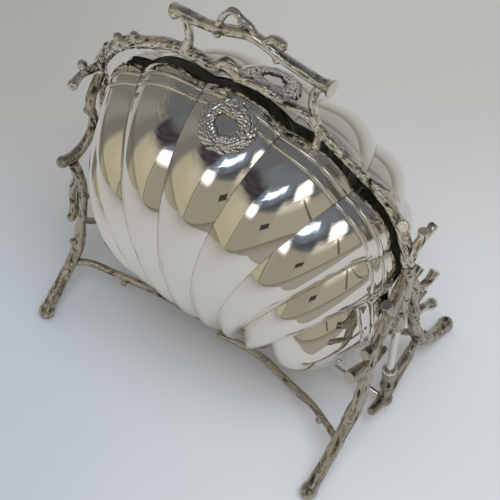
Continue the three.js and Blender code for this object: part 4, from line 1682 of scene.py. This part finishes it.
# Its relief mask tones the leaf edges and paints shade under and between the leaves.
WREATH_SILVER = replace(
    BARK_SILVER, name="wreath silver", bright=(0.93, 0.90, 0.85), toned=(0.22, 0.19, 0.15),
    reach=0.34, patches=0.3, gloss=0.05, haze=0.05, mark_depth=0.03)
TURNED_SILVER = replace(
    BARK_SILVER, name="turned silver", bright=(0.88, 0.86, 0.81), toned=(0.3, 0.27, 0.22),
    reach=-0.2, patches=0.2, mask="plain", mask_is_hollow=True, gloss=0.07, haze=0.08,
    mark_depth=0.01, rubs=0.4)
# Toned where the "valley" mask says: toning plus painted shade in the creases and rim grooves.
BOWL_SILVER = replace(
    BARK_SILVER, name="bowl silver", bright=(0.865, 0.835, 0.78), toned=(0.3, 0.28, 0.25),
    reach=0.3, patches=0.1, mask="valley", mask_is_hollow=True, gloss=0.018, haze=0.03,
    toned_roughness=0.2, mark_size=300.0, mark_depth=0.0012, rubs=0.5)
INNER_SILVER = replace(
    BOWL_SILVER, name="inner silver", bright=(0.80, 0.80, 0.72), toned=(0.55, 0.55, 0.48),
    reach=0.1, patches=0.5, mask="plain", gloss=0.34, haze=0.2, mark_depth=0.01)


@dataclass(frozen=True)
class Dress:
    """How a cast branch is dressed: its bark, its material slot and its finish."""

    bark: Bark = PLAIN
    slot: Slot = Slot.BARK
    finish: SilverFinish = BARK_SILVER


LEG_DRESS = Dress(finish=LEG_SILVER)

# The dress of each branch, by how its name starts; the others have the usual one.
DRESSES = {
    "arch": Dress(RUGGED),
    "post_branch": Dress(RUGGED, finish=POST_SILVER),
    "handle_bar": Dress(WORN, Slot.SMOOTH, HANDLE_SILVER),
    "handle_twig": Dress(PLAIN, Slot.SMOOTH, HANDLE_SILVER),
    # The lower post pieces and end twigs under the bowls get the darker silver as painted shade.
    "post_foot": Dress(PLAIN, Slot.DARK, UNDER_BOWL_SHADE_SILVER),
    "end_twig": Dress(PLAIN, Slot.DARK, UNDER_BOWL_SHADE_SILVER),
    "front_": LEG_DRESS,
    "rear_": LEG_DRESS,
    "crook": LEG_DRESS,
    "spur": LEG_DRESS,
}


def dress_of(node: str) -> Dress:
    """The dress of a branch, by its name."""
    return next((dress for start, dress in DRESSES.items() if node.startswith(start)), Dress())


@dataclass(frozen=True)
class RoomPanel:
    """A window, wall or shelf of the room that the silver mirrors, by direction in degrees."""

    azimuth: float
    height: float
    half_width: float
    half_height: float
    soft: float
    colour: tuple
    lean: float = 0.0
    tilt: float = 0.0

    def mask(self, sketch: Sketch, azimuth: Socket, height: Socket) -> Socket:
        """Where the panel is.

        Args:
            sketch: The world's nodes.
            azimuth: The mirrored direction's angle from the front.
            height: Its angle over the table.

        Returns:
            1 inside the panel, 0 outside it.
        """
        across, up = sketch.minus(azimuth, self.azimuth), sketch.minus(height, self.height)
        inside = []
        for off, other, skew, half in ((across, up, self.lean, self.half_width),
                                       (up, across, self.tilt, self.half_height)):
            off = sketch.value("ABSOLUTE", sketch.minus(off, sketch.times(other, skew)))
            inside.append(sketch.ramp(off, half - self.soft, half + self.soft, 1.0, 0.0))
        return sketch.times(*inside)


# The mirrored table top ends where across * x + ahead * y passes start, in metres.
TABLE_EDGES = (
    (0.977, 0.215, 0.192), (0.978, -0.21, 0.54), (0.77, -0.64, 1.22), (-0.911, 0.412, 0.39),
)

# Where the mirrored walls' foot changes, in degrees from the front, and its colour from there.
MIRRORED_WALLS = ((-66, -58, (0.47, 0.435, 0.315)), (-20, -18, (0.336, 0.315, 0.257)))

ROOM_PANELS = (
    RoomPanel(-40, 5, 20.5, 22, 2.5, (0.45, 0.415, 0.30)),
    RoomPanel(-30, 22, 9, 11, 8, (0.52, 0.48, 0.365)),
    RoomPanel(-100, -2, 38, 50, 4, (0.19, 0.185, 0.17), lean=0.38),
    RoomPanel(-84, -2, 7, 45, 5, (0.26, 0.25, 0.22), lean=0.38),
    RoomPanel(52, 5, 26, 24, 6, (0.37, 0.34, 0.275)),
    RoomPanel(-32, 44, 17, 8, 4, (0.055, 0.048, 0.056)),
    RoomPanel(16, 40, 22, 5, 4, (0.085, 0.09, 0.10)),
    RoomPanel(8, 52, 25, 8.5, 6, (0.22, 0.27, 0.35), tilt=0.3),
    RoomPanel(5, 66, 50, 8, 6, (0.17, 0.185, 0.215)),
    RoomPanel(44, 34, 16, 6, 5, (0.62, 0.57, 0.50)),
    RoomPanel(-13, 31.5, 7.2, 4.2, 3.5, (2.0, 2.0, 2.0)),
    RoomPanel(53, 48.5, 9.5, 8, 4, (2.2, 2.2, 2.1)),
    RoomPanel(56, 38, 4, 6, 3, (1.2, 1.15, 1.05)),
    RoomPanel(7, 52, 16, 3.4, 3, (1.7, 2.0, 2.4), tilt=0.36),
    RoomPanel(21, 17.5, 5, 3, 0.5, (0.05, 0.045, 0.04), lean=-0.25),
    RoomPanel(-19.5, 8, 0.7, 18, 0.5, (0.20, 0.175, 0.13)),
    RoomPanel(60, 18, 0.9, 18, 0.6, (0.12, 0.10, 0.075), lean=-0.25),
    RoomPanel(86, 20, 6, 40, 2.5, (0.10, 0.09, 0.07)),
)


@dataclass
class Studio:
    """Floor, room light, lamp and camera, in metres and degrees."""

    floor_half: float = 3.4
    floor_z: float = -1e-4
    mirrored_wall_y: float = 0.16
    even_colour: tuple = (1.0, 0.95, 0.87)
    even_strength: float = 0.55
    lamp_size: tuple = (1.3, 0.9)
    lamp_place: tuple = (0.5, -0.35, 1.7)
    lamp_target: tuple = (0, 0, 0.1)
    lamp_power: float = 17.0
    lamp_colour: tuple = (0.88, 0.97, 1.09)
    camera_azimuth: float = 36.26
    camera_elevation: float = 53.94
    camera_roll: float = 1.45
    camera_target: tuple = (0.0024, 0, 0.096)
    camera_distance: float = 1.011
    camera_lens: float = 101.2
    camera_reach: tuple = (0.05, 50.0)

    def build(self) -> None:
        """Sets the whole studio up."""
        for part in (self.floor, self.room, self.lamp, self.camera):
            part()
        bpy.context.scene.view_settings.view_transform = "Standard"
        LOG.info("studio is ready")

    def floor(self) -> None:
        """A pale table top, painted lighter towards the camera's right as painted light, darker and
        warmer behind the box.
        """
        half, z = self.floor_half, self.floor_z
        corners = [(-half, -half, z), (half, -half, z), (half, half, z), (-half, half, z)]
        mesh = bpy.data.meshes.new("floor")
        mesh.from_pydata(corners, [], [(0, 1, 2, 3)])
        added("floor", mesh)
        material, sketch, surface = new_material("floor paper", Roughness=0.9)
        where = sketch.where("Object")
        x, y, _ = sketch.split(where)
        back, right = sketch.along(x, y, -0.59, 0.81), sketch.along(x, y, 0.81, 0.59)
        uneven = sketch.uneven(sketch.noise(where, 6.0, 4.0), 0.08)
        # Painted light: the table top is painted lighter and bluer towards the camera's right.
        lit = sketch.ramp(sketch.plus(right, uneven), -0.22, 0.06)
        near = sketch.mix(lit, (0.55, 0.59, 0.645), (0.71, 0.72, 0.745))
        far = sketch.mix(lit, (0.465, 0.46, 0.43), (0.57, 0.565, 0.545))
        plain = sketch.mix(sketch.ramp(sketch.plus(back, uneven), -0.01, 0.27), near, far)
        colour = sketch.mix(sketch.mirrored(), plain, self.mirrored_floor(sketch, x, y))
        sketch.join(colour, surface.inputs["Base Color"])
        mesh.materials.append(material)

    def mirrored_floor(self, sketch: Sketch, x: Socket, y: Socket) -> Socket:
        """The table top as the silver mirrors it: pale up to its edges, then the walls' foot.

        Args:
            sketch: The floor's material.
            x: Place along X, in metres.
            y: Place along Y, in metres.

        Returns:
            The colour for mirrored rays.
        """
        edges = [sketch.minus(sketch.along(x, y, across, ahead), start)
                 for across, ahead, start in TABLE_EDGES]
        past = reduce(lambda one, other: sketch.value("MAXIMUM", one, other), edges)
        past = sketch.value("MINIMUM", past, sketch.minus(-self.mirrored_wall_y, y))
        walls = (0.23, 0.22, 0.195)
        for start, end, colour in MIRRORED_WALLS:
            share = sketch.ramp(sketch.compass(x, y), math.radians(start), math.radians(end))
            walls = sketch.mix(share, walls, colour)
        pale = sketch.mix(sketch.ramp(y, 0.15, 2.0), (0.592, 0.588, 0.585), (0.43, 0.425, 0.41))
        colour = sketch.mix(sketch.ramp(past, -0.006, 0.006), pale, walls)
        line = sketch.ramp(sketch.value("ABSOLUTE", past), 0.003, 0.012, 0.45, 0.0)
        return sketch.mix(line, colour, (0.2, 0.18, 0.14))

    def room(self) -> None:
        """Even light for plain surfaces, and a room with windows for the silver to mirror."""
        world = bpy.data.worlds.new("room")
        bpy.context.scene.world = world
        world.use_nodes = True
        sketch = Sketch(world.node_tree)
        colour, strength = self.mirrored_room(sketch)
        even = sketch.add("ShaderNodeBackground", Color=self.even_colour,
                          Strength=self.even_strength)
        mirrored = sketch.add("ShaderNodeBackground", Color=colour, Strength=strength)
        choose = sketch.add("ShaderNodeMixShader", Fac=sketch.mirrored())
        sketch.join(even.outputs["Background"], choose.inputs[1])
        sketch.join(mirrored.outputs["Background"], choose.inputs[2])
        sketch.add("ShaderNodeOutputWorld", Surface=choose.outputs["Shader"])

    def mirrored_room(self, sketch: Sketch) -> tuple[Socket, Socket]:
        """The room as the silver mirrors it; its upper parts drift and ripple a little.

        Args:
            sketch: The world's nodes.

        Returns:
            Its colour and its strength.
        """
        x, y, z = sketch.split(sketch.where("Generated"))
        azimuth = sketch.times(sketch.compass(x, y), 180 / math.pi)
        height = sketch.times(sketch.value("ARCSINE", z), 180 / math.pi)
        slope = sketch.minus(sketch.times(height, 0.2), sketch.times(azimuth, 0.06))
        flow = sketch.add("ShaderNodeCombineXYZ", X=sketch.times(azimuth, 0.05), Y=slope)
        above = sketch.ramp(height, 27, 42)
        calm = sketch.times(above, sketch.ramp(height, 44, 57, 1.0, 0.1))
        wander = sketch.uneven(sketch.noise(flow.outputs["Vector"], 1.0, 3.0, 0.55), above)
        ripple = sketch.uneven(sketch.noise(flow.outputs["Vector"], 1.5, 1.0), calm)
        behind = sketch.ramp(sketch.value("ABSOLUTE", azimuth), 105, 130)
        azimuth = sketch.plus(azimuth, sketch.times(ripple, 6.0))
        height = sketch.plus(height, sketch.times(wander, 14.0))
        colour = sketch.mix(sketch.ramp(height, 31, 37), (0.32, 0.30, 0.243), (0.135, 0.14, 0.15))
        for panel in ROOM_PANELS:
            colour = sketch.mix(panel.mask(sketch, azimuth, height), colour, panel.colour)
        paper = sketch.mix(sketch.ramp(height, -5, 28), (0.41, 0.405, 0.39), (0.29, 0.29, 0.28))
        paper = sketch.mix(sketch.ramp(height, 28, 45), paper, (0.15, 0.155, 0.16))
        return sketch.mix(behind, colour, paper), sketch.plus(sketch.times(ripple, 1.4), 1.0)

    def lamp(self) -> None:
        """One wide soft lamp overhead, which the silver doesn't mirror."""
        light = bpy.data.lights.new("soft lamp", "AREA")
        light.shape = "RECTANGLE"
        light.size, light.size_y = self.lamp_size
        light.energy = self.lamp_power
        light.color = self.lamp_colour
        lamp = added("soft lamp", light)
        lamp.location = self.lamp_place
        way = Vector(self.lamp_target) - lamp.location
        lamp.rotation_euler = way.to_track_quat("-Z", "Y").to_euler()
        lamp.visible_glossy = False

    def camera(self) -> None:
        """The photograph's view: from above, to the right of the front, a little tilted."""
        azimuth, elevation, roll = (math.radians(angle) for angle in (
            self.camera_azimuth, self.camera_elevation, self.camera_roll))
        back = Vector((math.sin(azimuth) * math.cos(elevation),
                       -math.cos(azimuth) * math.cos(elevation), math.sin(elevation)))
        level = (-back).cross(Vector((0, 0, 1))).normalized()
        top = level.cross(-back)
        right = math.cos(roll) * level + math.sin(roll) * top
        up = math.cos(roll) * top - math.sin(roll) * level
        data = bpy.data.cameras.new("camera")
        data.sensor_width = 36.0
        data.lens = self.camera_lens
        data.clip_start, data.clip_end = self.camera_reach
        camera = added("camera", data)
        turn = Matrix((right, up, back)).transposed().to_4x4()
        place = Vector(self.camera_target) + back * self.camera_distance
        camera.matrix_world = Matrix.Translation(place) @ turn
        bpy.context.scene.camera = camera


def branches() -> list[Branch]:
    """Every cast branch of the frame, dressed.

    Returns:
        The branches; their order gives their seeds.
    """
    casts = {
        "arch_branch": ARCH,
        "handle_bar": HANDLE_BAR,
        "handle_strut_left": LEFT_STRUT,
        "handle_strut_right": RIGHT_STRUT,
        "handle_twig_bent": FORK_ON_BAR,
        "handle_twig_bud": BUD_ON_BAR,
        "front_leg_right": FRONT_LEG_RIGHT,
        "front_leg_left": FRONT_LEG_LEFT,
        "crook_twig_left": CROOK,
        "spur_twig_left": SPUR_LEFT,
        "fork_twig_left": FORK_LEFT,
        "fork_twig_right": FORK_RIGHT,
        "side_twig_left": SIDE_TWIG_LEFT,
        "side_twig_right": SIDE_TWIG_RIGHT,
        "curved_twig_right": CURVED_TWIG_RIGHT,
        "knob_twig_right": KNOB_TWIG_RIGHT,
    }
    for side in Side:
        casts[f"{side.value}_stretcher_left"] = STRETCHER_LEFT.on(side)
        casts[f"{side.value}_stretcher_right"] = STRETCHER_RIGHT.on(side)
    for end in End:
        for name, cast in (("post_branch", POST), ("post_foot", POST_FOOT),
                           ("rear_leg", REAR_LEG_RIGHT), ("rear_brace", REAR_BRACE_RIGHT),
                           ("end_twig", END_TWIG_RIGHT)):
            casts[f"{name}_{end.value}"] = cast.at(end)
    return [Branch(node, cast, dress_of(node), seed)
            for seed, (node, cast) in enumerate(casts.items(), start=1)]


def main() -> None:
    """Builds every piece in order."""
    logging.basicConfig(level=logging.INFO, format="%(name)s: %(message)s")
    for branch in branches():
        branch.build()
    for end in End:
        EndPost(end).build(TURNED_SILVER)
    hinge = Hinge()
    hinge.rod(TURNED_SILVER)
    for side in Side:
        bowl = FlutedBowl(side)
        bowl.build(BOWL_SILVER, INNER_SILVER)
        LaurelWreath(bowl).build(WREATH_SILVER)
        hinge.leaf(side, TURNED_SILVER)
    Studio().build()
    LOG.info("all pieces are in place")


if __name__ == "__main__":
    main()
